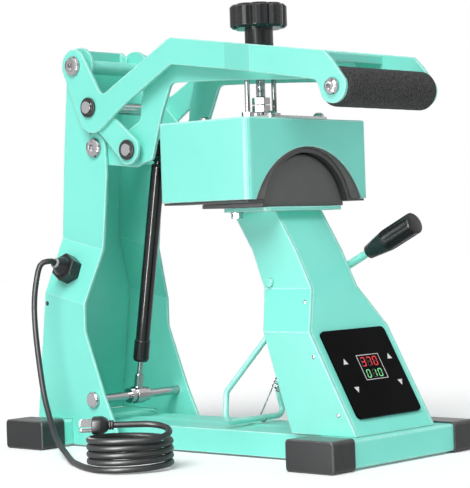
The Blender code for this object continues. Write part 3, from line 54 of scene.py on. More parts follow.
RIGHT, REARWARD, UP = Vector((1.0, 0.0, 0.0)), Vector((0.0, 1.0, 0.0)), Vector((0.0, 0.0, 1.0))
SIDES = (("left", -1), ("right", 1))


def new_object(name, data):
    """A named object with the given data, put in the scene."""
    made = bpy.data.objects.new(name, data)
    bpy.context.scene.collection.objects.link(made)
    return made


def in_tenths(point):
    """A place in millimetres, to the tenth, because packing adds stray thousandths."""
    return Vector([round(v / MM, 1) for v in point])


def corners_of(node):
    """The lowest and the highest corner of a CAD node, in millimetres."""
    return [in_tenths(corner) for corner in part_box(node)]


def middle_of(node):
    """The middle of a CAD node's box, in millimetres."""
    low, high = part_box(node)
    return in_tenths((low + high) / 2)


# %% [markdown]
# ## The camera
#
# The photograph looks at the near front corner from a little below the middle of the machine.
# The place, the turn and the lens come from a least-squares fit of thirty marked corners.
# A rotation matrix is written out instead of a Track To constraint, because the picture leans
# by almost two degrees, and a constraint can't hold that roll.

# %% Camera
CAMERA_PLACE = Vector((-1359.06, -1262.21, 220.0)) * MM
CAMERA_TURN, CAMERA_DIP, CAMERA_ROLL = (math.radians(a) for a in (47.43, 0.38, -1.82))
PHOTO_WIDTH = 470
FOCAL_PIXELS = 1825.5
SENSOR = 36.0
NEAREST = 50.0 * MM


def aim(turn, dip, roll):
    """The rotation of a camera that looks turn to the right of +Y, dips and rolls."""
    ahead = Vector((math.sin(turn) * math.cos(dip), math.cos(turn) * math.cos(dip), -math.sin(dip)))
    right = Vector((math.cos(turn), -math.sin(turn), 0.0))
    above = right.cross(ahead)
    level = right * math.cos(roll) + above * math.sin(roll)
    upright = above * math.cos(roll) - right * math.sin(roll)
    return Matrix((level, upright, -ahead)).transposed().to_4x4()


lens = bpy.data.cameras.new("photo_camera")
lens.sensor_fit = "HORIZONTAL"
lens.sensor_width = SENSOR
lens.lens = FOCAL_PIXELS / PHOTO_WIDTH * SENSOR
lens.clip_start = NEAREST
camera = new_object("photo_camera", lens)
camera.matrix_world = Matrix.Translation(CAMERA_PLACE) @ aim(CAMERA_TURN, CAMERA_DIP, CAMERA_ROLL)
bpy.context.scene.camera = camera
print("camera: lens %.0f mm at %.2f m" % (lens.lens, CAMERA_PLACE.length))

# %% [markdown]
# ## The route of the mains cord
#
# The cord is one and a half metres of 6 mm rubber lead. It leaves the gland in the column's side,
# falls to the bench, lies there in a round coil, and its plug rests on the coil.
# It could be drawn as a free curve, but a coil drawn by hand crosses itself. A helix whose pitch
# is a little over the lead's thickness stacks each turn on the one below.

# %% Cord sizes
CORD_RADIUS = 3.0 * MM
THICK = 2 * CORD_RADIUS
LIE = 3.02 * MM
GAP = 0.3 * MM
MOUTH = Vector((-77.04, 173.15, 193.51)) * MM
OUTWARD = Vector((-0.940, -0.071, 0.335)).normalized()
ROUTE = [(-92.0, 178.5, 192.0), (-97.0, 181.0, 172.0), (-101.0, 180.0, 150.0), (-104.0, 176.0, 125.0),
         (-108.0, 168.0, 96.0), (-115.0, 154.0, 62.0), (-121.0, 141.0, 42.0), (-129.0, 125.0, 26.0),
         (-140.0, 105.0, 14.5), (-155.0, 77.0, 6.5), (-172.0, 50.0, 3.02), (-187.0, 24.0, 3.02)]
COIL_CENTRE = Vector((-165.0, -23.0, 3.02)) * MM
COIL_RADIUS, COIL_PITCH = 38.5 * MM, 6.6 * MM
COIL_START, COIL_TURN = math.radians(160.7), math.radians(1500.0)
TAIL_RADIUS, TAIL_REACH = 26.0 * MM, 16.0 * MM
PLUG_HALF_HEIGHT = 8.4 * MM
DROP_POINTS, COIL_STEPS, TAIL_STEPS, KNOT_STEPS = 76, 100, 24, 24


def smooth_path(points, count):
    """Evenly spaced points of the Catmull-Rom curve through points."""
    knots = [Vector(p) for p in points]
    knots = [knots[0] * 2 - knots[1]] + knots + [knots[-1] * 2 - knots[-2]]
    dense = []
    for i in range(1, len(knots) - 2):
        a, b, c, d = knots[i - 1:i + 3]
        for step in range(KNOT_STEPS):
            t = step / KNOT_STEPS
            dense.append(0.5 * (2 * b + (c - a) * t + (2 * a - 5 * b + 4 * c - d) * t * t
                                + (3 * b - a - 3 * c + d) * t ** 3))
    dense.append(knots[-2])
    reach = [0.0]
    for a, b in zip(dense, dense[1:]):
        reach.append(reach[-1] + (b - a).length)
    path, spot = [], 0
    for i in range(count):
        goal = reach[-1] * i / (count - 1)
        while spot < len(dense) - 2 and reach[spot + 1] < goal:
            spot += 1
        part = (goal - reach[spot]) / (reach[spot + 1] - reach[spot])
        path.append(dense[spot].lerp(dense[spot + 1], part))
    return path


def coil_point(angle):
    """A point of the coil's helix."""
    rise = COIL_PITCH * (angle - COIL_START) / math.tau
    return COIL_CENTRE + Vector((COIL_RADIUS * math.cos(angle), COIL_RADIUS * math.sin(angle), rise))


def along_coil(angle):
    """The level direction in which the coil runs."""
    return Vector((-math.sin(angle), math.cos(angle), 0.0))


print("coil: %.1f turns" % (COIL_TURN / math.tau))

# %% From the gland to the coil
lead_in = along_coil(COIL_START)
coil = [coil_point(COIL_START + COIL_TURN * i / COIL_STEPS) for i in range(COIL_STEPS + 1)]
join = coil[0] - lead_in * (THICK + GAP)
way_down = [MOUTH, MOUTH + OUTWARD * THICK] + [Vector(p) * MM for p in ROUTE]
way_down += [join - lead_in * THICK * 2, join]
drop = smooth_path(way_down, DROP_POINTS)
for point in drop:
    point.z = max(point.z, LIE)
print("drop: lowest point %.2f mm up" % (min(p.z for p in drop) / MM))

# %% Over the coil to the plug
LAST = COIL_START + COIL_TURN
heading = along_coil(LAST)
inward = Vector((-heading.y, heading.x, 0.0))
knee = coil[-1] + heading * (THICK * 2 + GAP)
entry_angle = math.atan2(-heading.y, -heading.x)
while entry_angle + math.tau < LAST:
    entry_angle += math.tau
level = coil_point(entry_angle).z + CORD_RADIUS + GAP + PLUG_HALF_HEIGHT
hub = knee + inward * TAIL_RADIUS
tail = [knee]
for i in range(1, TAIL_STEPS + 1):
    turn, part = math.pi * i / TAIL_STEPS, i / TAIL_STEPS
    point = hub - inward * TAIL_RADIUS * math.cos(turn) + heading * TAIL_RADIUS * math.sin(turn)
    point.z = knee.z + (level - knee.z) * part * part * (3 - 2 * part)
    tail.append(point)
entry = COIL_CENTRE + inward * (hub + inward * TAIL_RADIUS - COIL_CENTRE).dot(inward) - heading * TAIL_REACH
entry.z = level
cord_line = drop + coil + tail + [tail[-1].lerp(entry, 0.5), entry]

# %% [markdown]
# ## Helpers for pieces
#
# Every new piece is a mesh whose place is in its points, and it rides on the body that carries it.
# Rows of points joined into a skin make turned and swept forms, where a primitive would have to
# be bent afterwards.

# %% Skins and rings
def skin_rows(rows, start, looped):
    """Faces between equal rows: the ends are capped, or the last row of a loop meets the first."""
    wide, count = len(rows[0]), len(rows)
    faces = []
    for r in range(count if looped else count - 1):
        here, there = start + r * wide, start + (r + 1) % count * wide
        for i in range(wide):
            j = (i + 1) % wide
            faces.append((here + i, here + j, there + j, there + i))
    if not looped:
        faces.append(tuple(start + i for i in reversed(range(wide))))
        faces.append(tuple(start + (count - 1) * wide + i for i in range(wide)))
    return faces


def piece(name, strips, finish, body, smooth=True, looped=False):
    """A piece skinned over strips, each a list of rows of points; it rides on a body."""
    verts, faces = [], []
    for rows in strips:
        faces += skin_rows(rows, len(verts), looped)
        verts += [tuple(point) for row in rows for point in row]
    mesh = bpy.data.meshes.new(name)
    mesh.from_pydata(verts, [], faces)
    mesh.validate()
    work = bmesh.new()
    work.from_mesh(mesh)
    bmesh.ops.recalc_face_normals(work, faces=work.faces)
    work.to_mesh(mesh)
    work.free()
    if smooth:
        mesh.shade_smooth()
    else:
        mesh.shade_flat()
    mesh.materials.append(finish)
    made = new_object(name, mesh)
    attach(made, body)
    print("%s: %d faces" % (name, len(mesh.polygons)))
    return made


def circle(centre, first, second, radius_at, count):
    """Points round a centre, from first towards second, each at the radius for its turn."""
    turns = [math.tau * i / count for i in range(count)]
    return [centre + (first * math.cos(t) + second * math.sin(t)) * radius_at(t) for t in turns]


# %% [markdown]
# ## Helpers for node trees
#
# Blender's node editor shows each of these trees, but wiring them by hand can't be repeated.
# So each kind of node that comes back often has a short function, which makes the node, gives it
# its inputs, and mostly returns the socket that the next node reads.

# %% Node helpers
def new_tree(name, kind, inputs, outputs):
    """An empty node group with its named sockets; returns it, its given values and its end node."""
    tree = bpy.data.node_groups.new(name, kind)
    for label, socket, value in inputs:
        made = tree.interface.new_socket(label, in_out="INPUT", socket_type="NodeSocket" + socket)
        if value is not None:
            made.default_value = value
    for label, socket in outputs:
        tree.interface.new_socket(label, in_out="OUTPUT", socket_type="NodeSocket" + socket)
    return tree, tree.nodes.new("NodeGroupInput").outputs, tree.nodes.new("NodeGroupOutput")


def feed(tree, node, inputs):
    """Gives a node its inputs: a socket is linked, and a value is set."""
    for key, value in inputs.items():
        if isinstance(value, bpy.types.NodeSocket):
            tree.links.new(value, node.inputs[key])
        else:
            node.inputs[key].default_value = value


def add(tree, kind, inputs=None, **settings):
    """One node with its settings and inputs."""
    node = tree.nodes.new(kind)
    for key, value in settings.items():
        setattr(node, key, value)
    feed(tree, node, inputs or {})
    return node


def place_on(tree):
    """The place on the piece, which stays with it when the press opens."""
    return add(tree, "ShaderNodeTexCoord").outputs["Object"]


def noise(tree, scale, place=None, **inputs):
    """Cloudy values from 0 to 1."""
    inputs.update({"Vector": place or place_on(tree), "Scale": scale})
    return add(tree, "ShaderNodeTexNoise", inputs).outputs["Fac"]


def span(tree, value, low, high, to_low=0.0, to_high=1.0):
    """A value between low and high, carried over to the run from to_low to to_high."""
    return add(tree, "ShaderNodeMapRange", {"Value": value, "From Min": low, "From Max": high,
                                            "To Min": to_low, "To Max": to_high}).outputs["Result"]


def mix(tree, share, one, two):
    """The first colour, with a share of the second."""
    return add(tree, "ShaderNodeMixRGB", {"Fac": share, "Color1": one, "Color2": two}).outputs["Color"]


def reckon(tree, operation, *values):
    """One sum of the Math node."""
    return add(tree, "ShaderNodeMath", dict(enumerate(values)), operation=operation).outputs["Value"]


def rgba(*parts):
    """A colour and its alpha; one number stands for a grey."""
    return (*(parts * 3 if len(parts) == 1 else parts), 1.0)


WHITE = rgba(1.0)

# %% [markdown]
# ## Shared effects: coat grain, painted edge light, brushed lines and dust
#
# Powder coat is never flat: it has a fine orange peel and cloudy patches, and its bends get a painted
# highlight.
# An image texture would need a UV map on every sheet. Noise on Object coordinates needs none, and
# it stays on the piece when the press opens. The Bevel node rounds the sharp CAD edges in light,
# and its normal also finds the edges where the edge group paints a highlight (a dark rim on the plated
# steel).
# Each effect is a node group, so one change reaches every finish.

# %% Grain and painted edge light
USUAL_NOISE, PATCH_NOISE, BROKEN_NOISE = (0.3, 0.7), (0.35, 0.68), (0.35, 0.6)
EDGE_TURN, BROKEN_SHARES, BROKEN_SCALE = (0.998, 0.98), (0.45, 1.0), 160.0
grain_group, given, out = new_tree(
    "Coat grain", "ShaderNodeTree",
    [("Colour", "Color", WHITE), ("Patch colour", "Color", WHITE), ("Grain", "Float", 900.0),
     ("Patches", "Float", 14.0), ("Rough low", "Float", 0.3), ("Rough high", "Float", 0.5)],
    [("Colour", "Color"), ("Roughness", "Float"), ("Height", "Float")])
fine = noise(grain_group, given["Grain"], Detail=2.0, Roughness=0.55)
cloud = noise(grain_group, given["Patches"], Detail=3.0, Roughness=0.6)
patches = span(grain_group, cloud, *PATCH_NOISE)
feed(grain_group, out, {
    "Colour": mix(grain_group, patches, given["Colour"], given["Patch colour"]),
    "Roughness": span(grain_group, fine, *USUAL_NOISE, given["Rough low"], given["Rough high"]),
    "Height": fine})

# The edge group paints light and shade on the bends: where the Bevel normal turns away from the face, the
# colour moves towards the edge colour, broken up by noise. A paler edge colour is a painted highlight, and a
# darker one is a painted dark rim.
edge_light_and_shade_group, given, out = new_tree(
    "Painted edge light and shade", "ShaderNodeTree",
    [("Colour", "Color", WHITE), ("Edge colour", "Color", WHITE), ("Radius", "Float", 0.9 * MM),
     ("Strength", "Float", 0.5)],
    [("Colour", "Color"), ("Normal", "Vector")])
bend = add(edge_light_and_shade_group, "ShaderNodeBevel", {"Radius": given["Radius"]}, samples=6).outputs["Normal"]
flat = add(edge_light_and_shade_group, "ShaderNodeNewGeometry").outputs["Normal"]
match = add(edge_light_and_shade_group, "ShaderNodeVectorMath", {0: bend, 1: flat}, operation="DOT_PRODUCT")
turned_away = span(edge_light_and_shade_group, match.outputs["Value"], *EDGE_TURN, 0.0, given["Strength"])
patchy = span(edge_light_and_shade_group, noise(edge_light_and_shade_group, BROKEN_SCALE), *BROKEN_NOISE, *BROKEN_SHARES)
mask = reckon(edge_light_and_shade_group, "MULTIPLY", turned_away, patchy)
painted_edge_colour = mix(edge_light_and_shade_group, mask, given["Colour"], given["Edge colour"])
feed(edge_light_and_shade_group, out, {"Colour": painted_edge_colour, "Normal": bend})
print("effects:", grain_group.name, "and", edge_light_and_shade_group.name)

# %% Brushed lines and dust
LINE_SCALE, DUST_SCALE, LYING = 60.0, 240.0, (0.5, 1.0)
brush_group, given, out = new_tree(
    "Brushed lines", "ShaderNodeTree",
    [("Stretch", "Vector", (1.0, 1.0, 1.0)), ("Rough low", "Float", 0.2), ("Rough high", "Float", 0.4)],
    [("Roughness", "Float"), ("Height", "Float")])
drawn = add(brush_group, "ShaderNodeMapping", {"Vector": place_on(brush_group), "Scale": given["Stretch"]})
lines = noise(brush_group, LINE_SCALE, drawn.outputs["Vector"], Detail=4.0, Roughness=0.65)
feed(brush_group, out, {
    "Roughness": span(brush_group, lines, *USUAL_NOISE, given["Rough low"], given["Rough high"]),
    "Height": lines})

dust_group, given, out = new_tree(
    "Settled dust", "ShaderNodeTree",
    [("Colour", "Color", WHITE), ("Dust colour", "Color", rgba(0.75, 0.74, 0.72)),
     ("Amount", "Float", 0.08)],
    [("Colour", "Color")])
face = add(dust_group, "ShaderNodeNewGeometry").outputs["Normal"]
upward = add(dust_group, "ShaderNodeSeparateXYZ", {"Vector": face}).outputs["Z"]
lying = span(dust_group, upward, *LYING, 0.0, given["Amount"])
cover = reckon(dust_group, "MULTIPLY", lying, noise(dust_group, DUST_SCALE, Detail=5.0))
feed(dust_group, out, {"Colour": mix(dust_group, cover, given["Colour"], given["Dust colour"])})
print("effects:", brush_group.name, "and", dust_group.name)

# %% [markdown]
# ## The finishes
#
# The press has four families: mint powder coat, plated steel, moulded black plastic and rubber,
# and coated alloy on the curved platen. One function lays the shared groups into a Principled
# shader, and each finish gives its own numbers.

# %% One function for every finish
def coat(name, colour, patch, rough, grain=900.0, patches=14.0, bump=0.05, depth=0.2, metal=0.0,
         edge=None, edge_strength=0.4, edge_radius=0.9, dust=0.0, brushed=None, specular=0.5):
    """A finish made of the shared effects; depth and edge_radius are in millimetres. The edge colour is
    painted on the edges: paler for a painted highlight, darker for a painted dark rim.
    """
    made = bpy.data.materials.new(name)
    made.use_nodes = True
    tree = made.node_tree
    limits = {"Rough low": rough[0], "Rough high": rough[1]}
    body = add(tree, "ShaderNodeGroup",
               {"Colour": rgba(*colour), "Patch colour": rgba(*patch), "Grain": grain, "Patches": patches,
                **limits}, node_tree=grain_group).outputs
    tone, roughness, height = body["Colour"], body["Roughness"], body["Height"]
    if dust:
        settled = add(tree, "ShaderNodeGroup", {"Colour": tone, "Amount": dust}, node_tree=dust_group)
        tone = settled.outputs["Colour"]
    relief = {"Strength": bump, "Distance": depth * MM}
    # Painted edge light: the edges take a paler colour as a painted highlight, or a darker one on the plated
    # steel as a painted dark rim.
    if edge:
        painted_edge = add(tree, "ShaderNodeGroup",
                   {"Colour": tone, "Edge colour": rgba(*edge), "Radius": edge_radius * MM,
                    "Strength": edge_strength}, node_tree=edge_light_and_shade_group).outputs
        tone, relief["Normal"] = painted_edge["Colour"], painted_edge["Normal"]
    if brushed:
        drawn_lines = add(tree, "ShaderNodeGroup", {"Stretch": brushed, **limits}, node_tree=brush_group)
        roughness, height = drawn_lines.outputs["Roughness"], drawn_lines.outputs["Height"]
    relief["Height"] = height
    feed(tree, tree.nodes["Principled BSDF"],
         {"Base Color": tone, "Roughness": roughness, "Metallic": metal, "Specular IOR Level": specular,
          "Normal": add(tree, "ShaderNodeBump", relief).outputs["Normal"]})
    return made


# %% Finishes
# The edge colours below are painted edge light. Each is paler than its finish as a painted highlight, except
# on the plated steel, whose darker edge is a painted dark rim.
FINISH = {
    "mint_paint": coat("mint_powder_coat", (0.232, 0.840, 0.712), (0.216, 0.812, 0.685), (0.36, 0.48),
                       grain=1100.0, bump=0.10, edge=(0.74, 1.00, 0.97), edge_strength=0.80,
                       edge_radius=1.9, dust=0.05),
    "cap_plastic": coat("end_cap_plastic", (0.020, 0.020, 0.021), (0.029, 0.029, 0.030), (0.24, 0.38),
                        grain=1500.0, bump=0.16, edge=(0.190, 0.190, 0.192), dust=0.22,
                        edge_strength=0.7, edge_radius=1.6, specular=0.35),
    "chrome": coat("plated_steel", (0.58, 0.57, 0.58), (0.44, 0.43, 0.44), (0.08, 0.17), grain=500.0,
                   bump=0.02, metal=1.0, edge=(0.16, 0.155, 0.16), edge_strength=0.8, edge_radius=0.7),
    "steel": coat("brushed_steel", (0.66, 0.66, 0.67), (0.56, 0.56, 0.575), (0.20, 0.38), bump=0.06,
                  metal=1.0, edge=(0.84, 0.84, 0.85), brushed=(1.0, 14.0, 14.0), edge_radius=0.5),
    "form_metal": coat("form_coating", (0.105, 0.103, 0.104), (0.088, 0.087, 0.088), (0.40, 0.55),
                       grain=1300.0, bump=0.10, edge=(0.20,), dust=0.05),
    "platen_metal": coat("platen_coating", (0.075, 0.073, 0.074), (0.058, 0.057, 0.058), (0.30, 0.44),
                         grain=1400.0, bump=0.08, edge=(0.26,), edge_radius=0.6),
    "pad_rubber": coat("silicone_pad", (0.050, 0.049, 0.049), (0.062, 0.060, 0.060), (0.55, 0.72),
                       grain=1700.0, bump=0.22, depth=0.3),
    "insulation": coat("mica_insulation", (0.115, 0.110, 0.108), (0.160, 0.152, 0.148), (0.60, 0.85),
                       grain=420.0, patches=60.0, bump=0.25),
    "black_plastic": coat("glossy_black_plastic", (0.012, 0.012, 0.013), (0.018, 0.018, 0.019),
                          (0.20, 0.32), grain=1600.0, bump=0.06, edge=(0.110, 0.110, 0.112),
                          dust=0.06, specular=0.4),
    "cord_rubber": coat("cord_rubber", (0.018, 0.018, 0.019), (0.027, 0.027, 0.028), (0.38, 0.52),
                        grain=1900.0, patches=40.0, bump=0.10),
    "black_paint": coat("cylinder_enamel", (0.006, 0.006, 0.007), (0.010, 0.010, 0.011), (0.09, 0.16),
                        bump=0.01, edge=(0.12,), specular=0.4),
    "panel_gloss": coat("panel_film", (0.0030, 0.0030, 0.0034), (0.0052, 0.0052, 0.0058), (0.16, 0.24),
                        grain=2200.0, bump=0.02, specular=0.02),
    "grey_seal": coat("seal_rubber", (0.30, 0.30, 0.31), (0.36, 0.36, 0.37), (0.45, 0.60), bump=0.08),
    "black_oxide": coat("black_oxide_steel", (0.016, 0.016, 0.017), (0.026, 0.026, 0.027), (0.26, 0.40),
                        grain=1500.0, edge=(0.20,), edge_radius=0.5),
    "board": coat("circuit_board", (0.020, 0.160, 0.060), (0.016, 0.120, 0.048), (0.25, 0.40),
                  grain=700.0, patches=130.0, bump=0.10),
}
print("finishes:", len(FINISH))

# %% [markdown]
# ## Foam and ink finishes
#
# The grip's foam is open-celled, so its surface is a field of tiny pits, which a Voronoi texture
# gives as bumps, and it also paints shade into the pits and a paler highlight on the walls between them.
# Painting dots would look printed, because pits catch light on one side.
# The display's digits glow, and the marks beside them are white ink that wears thin in places.

# %% Foam, light and ink
CELL_SCALE, PITS, DRIFT_SCALE = 720.0, (0.18, 0.6), 700.0


def foam_finish():
    """Black foam with pits: painted shade darkens the pits, and the walls between them get a paler painted
    highlight.
    """
    made = coat("foam_cells", (0.007,), (0.012,), (0.75, 0.95), dust=0.03, specular=0.15)
    tree = made.node_tree
    shader = tree.nodes["Principled BSDF"]
    cells = add(tree, "ShaderNodeTexVoronoi", {"Vector": place_on(tree), "Scale": CELL_SCALE})
    pits = span(tree, cells.outputs["Distance"], *PITS)
    relief = add(tree, "ShaderNodeBump", {"Strength": 0.75, "Distance": 0.4 * MM, "Height": pits},
                 invert=True)
    skin = shader.inputs["Base Color"].links[0].from_socket
    # Painted light: the colour is darker in the pits as painted shade and paler on the walls as a painted
    # highlight.
    feed(tree, shader, {"Base Color": mix(tree, pits, skin, rgba(0.075, 0.075, 0.076)),
                        "Normal": relief.outputs["Normal"]})
    return made


def glow_finish(name, bright, dim, strength, faded_share=0.72):
    """A lit mark whose colour drifts a little from place to place."""
    made = coat(name, dim, dim, (0.3, 0.4), bump=0.02)
    tree = made.node_tree
    faded = [c * faded_share for c in bright]
    glow = mix(tree, noise(tree, DRIFT_SCALE, Detail=1.0), rgba(*bright), rgba(*faded))
    feed(tree, tree.nodes["Principled BSDF"], {"Emission Color": glow, "Emission Strength": strength})
    return made


FINISH["grip_foam"] = foam_finish()
RED = glow_finish("red_segments", (1.0, 0.045, 0.055), (0.30, 0.010, 0.012), 0.75)
GREEN = glow_finish("green_segments", (0.30, 0.95, 0.42), (0.05, 0.25, 0.08), 0.8)
UNLIT = coat("unlit_segments", (0.022, 0.010, 0.010), (0.016, 0.012, 0.010), (0.25, 0.35), bump=0.02)
INK = coat("white_ink", (0.80,), (0.70, 0.70, 0.71), (0.40, 0.55), patches=300.0, bump=0.03)
print("foam, two lights, unlit segments and ink")

# %% [markdown]
# ## Dressing the CAD nodes
#
# Most of the press is folded sheet, turned steel and moulded caps whose CAD shape is right.
# These nodes stay and only change their material, slot by slot. A copy with modifiers could
# round the edges too, but the Bevel shader does that in light without moving a vertex.

# %% Materials on nodes
LOOKS = {
    "cap_plastic": "foot_cap_front_left foot_cap_front_right foot_cap_rear_left foot_cap_rear_right",
    "chrome": "upper_pivot_bolt lower_pivot_axle lower_pivot_bolt gas_cross_rod bail_spring link_axle "
              "guide_rod_left guide_rod_right pressure_screw handle_pin handle_bolt link_pin_left "
              "link_pin_right gas_rod",
    "steel": "spring_anchor pressure_plate handle_tube",
    "form_metal": "lower_form", "pad_rubber": "form_pad", "panel_gloss": "control_panel",
    "board": "controller_board", "black_plastic": "cord_gland pressure_knob lever_grip",
    "cord_rubber": "cord_drop cord_coil cord_tail plug", "platen_metal": "heater_platen",
    "insulation": "heating_element", "grip_foam": "foam_grip", "black_paint": "gas_cylinder",
}
look_of = {node: look for look, names in LOOKS.items() for node in names.split()}
for name, node in NODES.items():
    for holder in node.material_slots:
        holder.material = FINISH[look_of.get(name, "mint_paint")]
print("dressed:", len(NODES), "nodes,", len(NODES) - len(look_of), "of them mint")

# %% [markdown]
# ## The cord
#
# A flexible lead is a tube along one line, so a curve with a round bevel is its natural form: it
# can't pinch, and its length can be measured. It stands for the three stiff CAD pieces of cord.

# %% Cord
line = bpy.data.curves.new("mains_cord", "CURVE")
line.dimensions = "3D"
spline = line.splines.new("POLY")
spline.points.add(len(cord_line) - 1)
for knot, point in zip(spline.points, cord_line):
    knot.co = (*point, 1.0)
line.bevel_depth = CORD_RADIUS
line.bevel_resolution = 4
line.use_fill_caps = True
line.materials.append(FINISH["cord_rubber"])
mains_cord = new_object("mains_cord", line)
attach(mains_cord, "base")
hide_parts("cord_drop", "cord_coil", "cord_tail")
print("cord: one spline of", len(spline.points), "points")

# %% [markdown]
# ## The plug
#
# The plug is moulded onto the cord, with a waisted neck, two flat blades and a round earth pin.
# A box with bevels would miss the soft shoulders, so rings of a rounded square are skinned from
# the neck to the face. The blades are metal, so they are a piece of their own.

# %% Plug body
PLUG_WAY = -heading
PLUG_SIDE = Vector((-PLUG_WAY.y, PLUG_WAY.x, 0.0))
PLUG_START = entry + PLUG_WAY * GAP
PLUG_RINGS = [(0.0, 3.4, 3.4), (0.2, 4.5, 4.5), (1.6, 4.5, 4.5), (1.9, 3.7, 3.7), (2.3, 3.7, 3.7),
              (2.6, 4.5, 4.5), (4.0, 4.5, 4.5), (4.3, 3.8, 3.8), (4.7, 3.8, 3.8), (5.1, 5.2, 4.8),
              (6.2, 7.4, 6.0), (8.0, 9.6, 7.1), (10.5, 11.9, 8.1), (12.0, 12.4, 8.35),
              (18.6, 12.4, 8.35), (19.4, 12.1, 8.1), (20.0, 11.3, 7.4)]
plug_face = PLUG_START + PLUG_WAY * PLUG_RINGS[-1][0] * MM


def squircle(centre, half_wide, half_tall, sharp=0.6, count=32):
    """A rounded square ring across the plug."""
    ring = []
    for i in range(count):
        c, s = math.cos(math.tau * i / count), math.sin(math.tau * i / count)
        ring.append(centre + PLUG_SIDE * half_wide * math.copysign(abs(c) ** sharp, c)
                    + UP * half_tall * math.copysign(abs(s) ** sharp, s))
    return ring


rows = [squircle(PLUG_START + PLUG_WAY * reach * MM, wide * MM, tall * MM)
        for reach, wide, tall in PLUG_RINGS]
plug_body = piece("plug_body", [rows], FINISH["cord_rubber"], "base")
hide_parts("plug")

# %% Plug blades and earth pin
BLADE_APART, BLADE_LIFT = 6.3 * MM, 2.5 * MM
BLADE_HALF_THICK, BLADE_HALF_WIDE = 0.8 * MM, 3.1 * MM
BLADE_RINGS = [(-2.0, 1.0, 1.0), (10.4, 1.0, 1.0), (11.4, 0.95, 0.85), (12.0, 0.7, 0.6)]
EARTH_DROP, EARTH_SIDES = 4.5 * MM, 20
EARTH_RINGS = [(-2.0, 2.2), (11.0, 2.2), (12.2, 1.8), (12.9, 1.0), (13.2, 0.3)]
CORNERS = ((-1, -1), (1, -1), (1, 1), (-1, 1))
strips = []
for sign in (-1, 1):
    root = plug_face + PLUG_SIDE * sign * BLADE_APART + UP * BLADE_LIFT
    strips.append([[root + PLUG_WAY * reach * MM + PLUG_SIDE * u * BLADE_HALF_THICK * thin
                    + UP * v * BLADE_HALF_WIDE * narrow for u, v in CORNERS]
                   for reach, thin, narrow in BLADE_RINGS])
strips.append([circle(plug_face - UP * EARTH_DROP + PLUG_WAY * reach * MM, PLUG_SIDE, UP,
                      lambda turn: radius * MM, EARTH_SIDES) for reach, radius in EARTH_RINGS])
plug_blades = piece("plug_blades", strips, FINISH["chrome"], "base", smooth=False)

# %% [markdown]
# ## The foam grip
#
# A foam sleeve is pushed over the handle's tube. A cylinder with a bevel would look turned from
# metal, so the profile has soft shoulders and a very slight waviness, spun round the tube.

# %% Foam grip
low, high = corners_of("foam_grip")
GRIP_CENTRE = middle_of("foam_grip") * MM
WAVES, WAVE_ROOM = [(0.05, 0.31), (0.02, 1.3)], 0.08
GRIP_HALF, GRIP_BORE, GRIP_RADIUS = high.x, 8.15, (high.z - low.z) / 2 - WAVE_ROOM
GRIP_BARREL, GRIP_STEP, GRIP_SIDES = 60, 3, 96
SHOULDER = [(0.0, 10.5), (0.0, 14.8), (0.3, 16.6), (1.0, 17.7), (2.2, 18.35), (3.8, 18.6)]
profile = [(-GRIP_HALF, GRIP_BORE)] + [(back - GRIP_HALF, r) for back, r in SHOULDER]
profile += [(x, GRIP_RADIUS + sum(tall * math.sin(x * rate) for tall, rate in WAVES))
            for x in range(-GRIP_BARREL, GRIP_BARREL + 1, GRIP_STEP)]
profile += [(GRIP_HALF - back, r) for back, r in reversed(SHOULDER)] + [(GRIP_HALF, GRIP_BORE)]
rows = [circle(GRIP_CENTRE + RIGHT * x * MM, REARWARD, UP, lambda turn: r * MM, GRIP_SIDES)
        for x, r in profile]
foam_sleeve = piece("foam_sleeve", [rows], FINISH["grip_foam"], "handle", looped=True)
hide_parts("foam_grip")

# %% [markdown]
# ## The silicone pad on the form
#
# A thin sponge pad is stretched over the curved form so the cap front beds evenly. It could be a
# Solidify on a bent plane, but its edges are rolled thin, so its cross-section is swept along the
# arch with rounded corners and a faint crown.

# %% Form pad
low, high = (corner * MM for corner in corners_of("form_pad"))
PAD_AXIS_Z = 231.5 * MM
PAD_FRONT, PAD_BACK, PAD_HIGH = low.y, high.y, high.z - PAD_AXIS_Z
PAD_THICK, PAD_LIFT = 2.67 * MM, 0.05 * MM
PAD_START = math.asin((low.z + PAD_LIFT - PAD_AXIS_Z) / PAD_HIGH)
ROLL_WIDE, ROLL_DROP, CROWN = 3.3 * MM, 1.1 * MM, 0.1 * MM
PAD_STEPS_ACROSS, PAD_STEPS_ALONG = 24, 72
across = []
for part in range(PAD_STEPS_ACROSS + 1):
    share = part / PAD_STEPS_ACROSS
    to_edge = min(share, 1 - share) * (PAD_BACK - PAD_FRONT)
    rolled = ROLL_DROP * max(0.0, 1 - to_edge / ROLL_WIDE) ** 2
    crowned = CROWN * (2 * share - 1) ** 2
    across.append((PAD_FRONT + (PAD_BACK - PAD_FRONT) * share, PAD_HIGH - rolled - crowned))
section = across + [(y, PAD_HIGH - PAD_THICK) for y, r in reversed(across)]
rows = []
for step in range(PAD_STEPS_ALONG + 1):
    angle = PAD_START + (math.pi - 2 * PAD_START) * step / PAD_STEPS_ALONG
    rows.append([Vector((r * math.cos(angle), y, PAD_AXIS_Z + r * math.sin(angle))) for y, r in section])
silicone_pad = piece("silicone_pad", [rows], FINISH["pad_rubber"], "base")
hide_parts("form_pad")

# %% [markdown]
# ## Screws from a node tree
#
# The same button-head screw sits on the pressure plate, the pedestal's flanges and slopes, and
# the column. Copying an object by hand would fix its size. Geometry Nodes put one head on every
# given point, turn it, and cut the hex socket with a Boolean, and the sizes stay inputs. The cut
# is made in millimetres and scaled afterwards, because a Boolean loses faces on parts a
# thousandth of a metre wide.

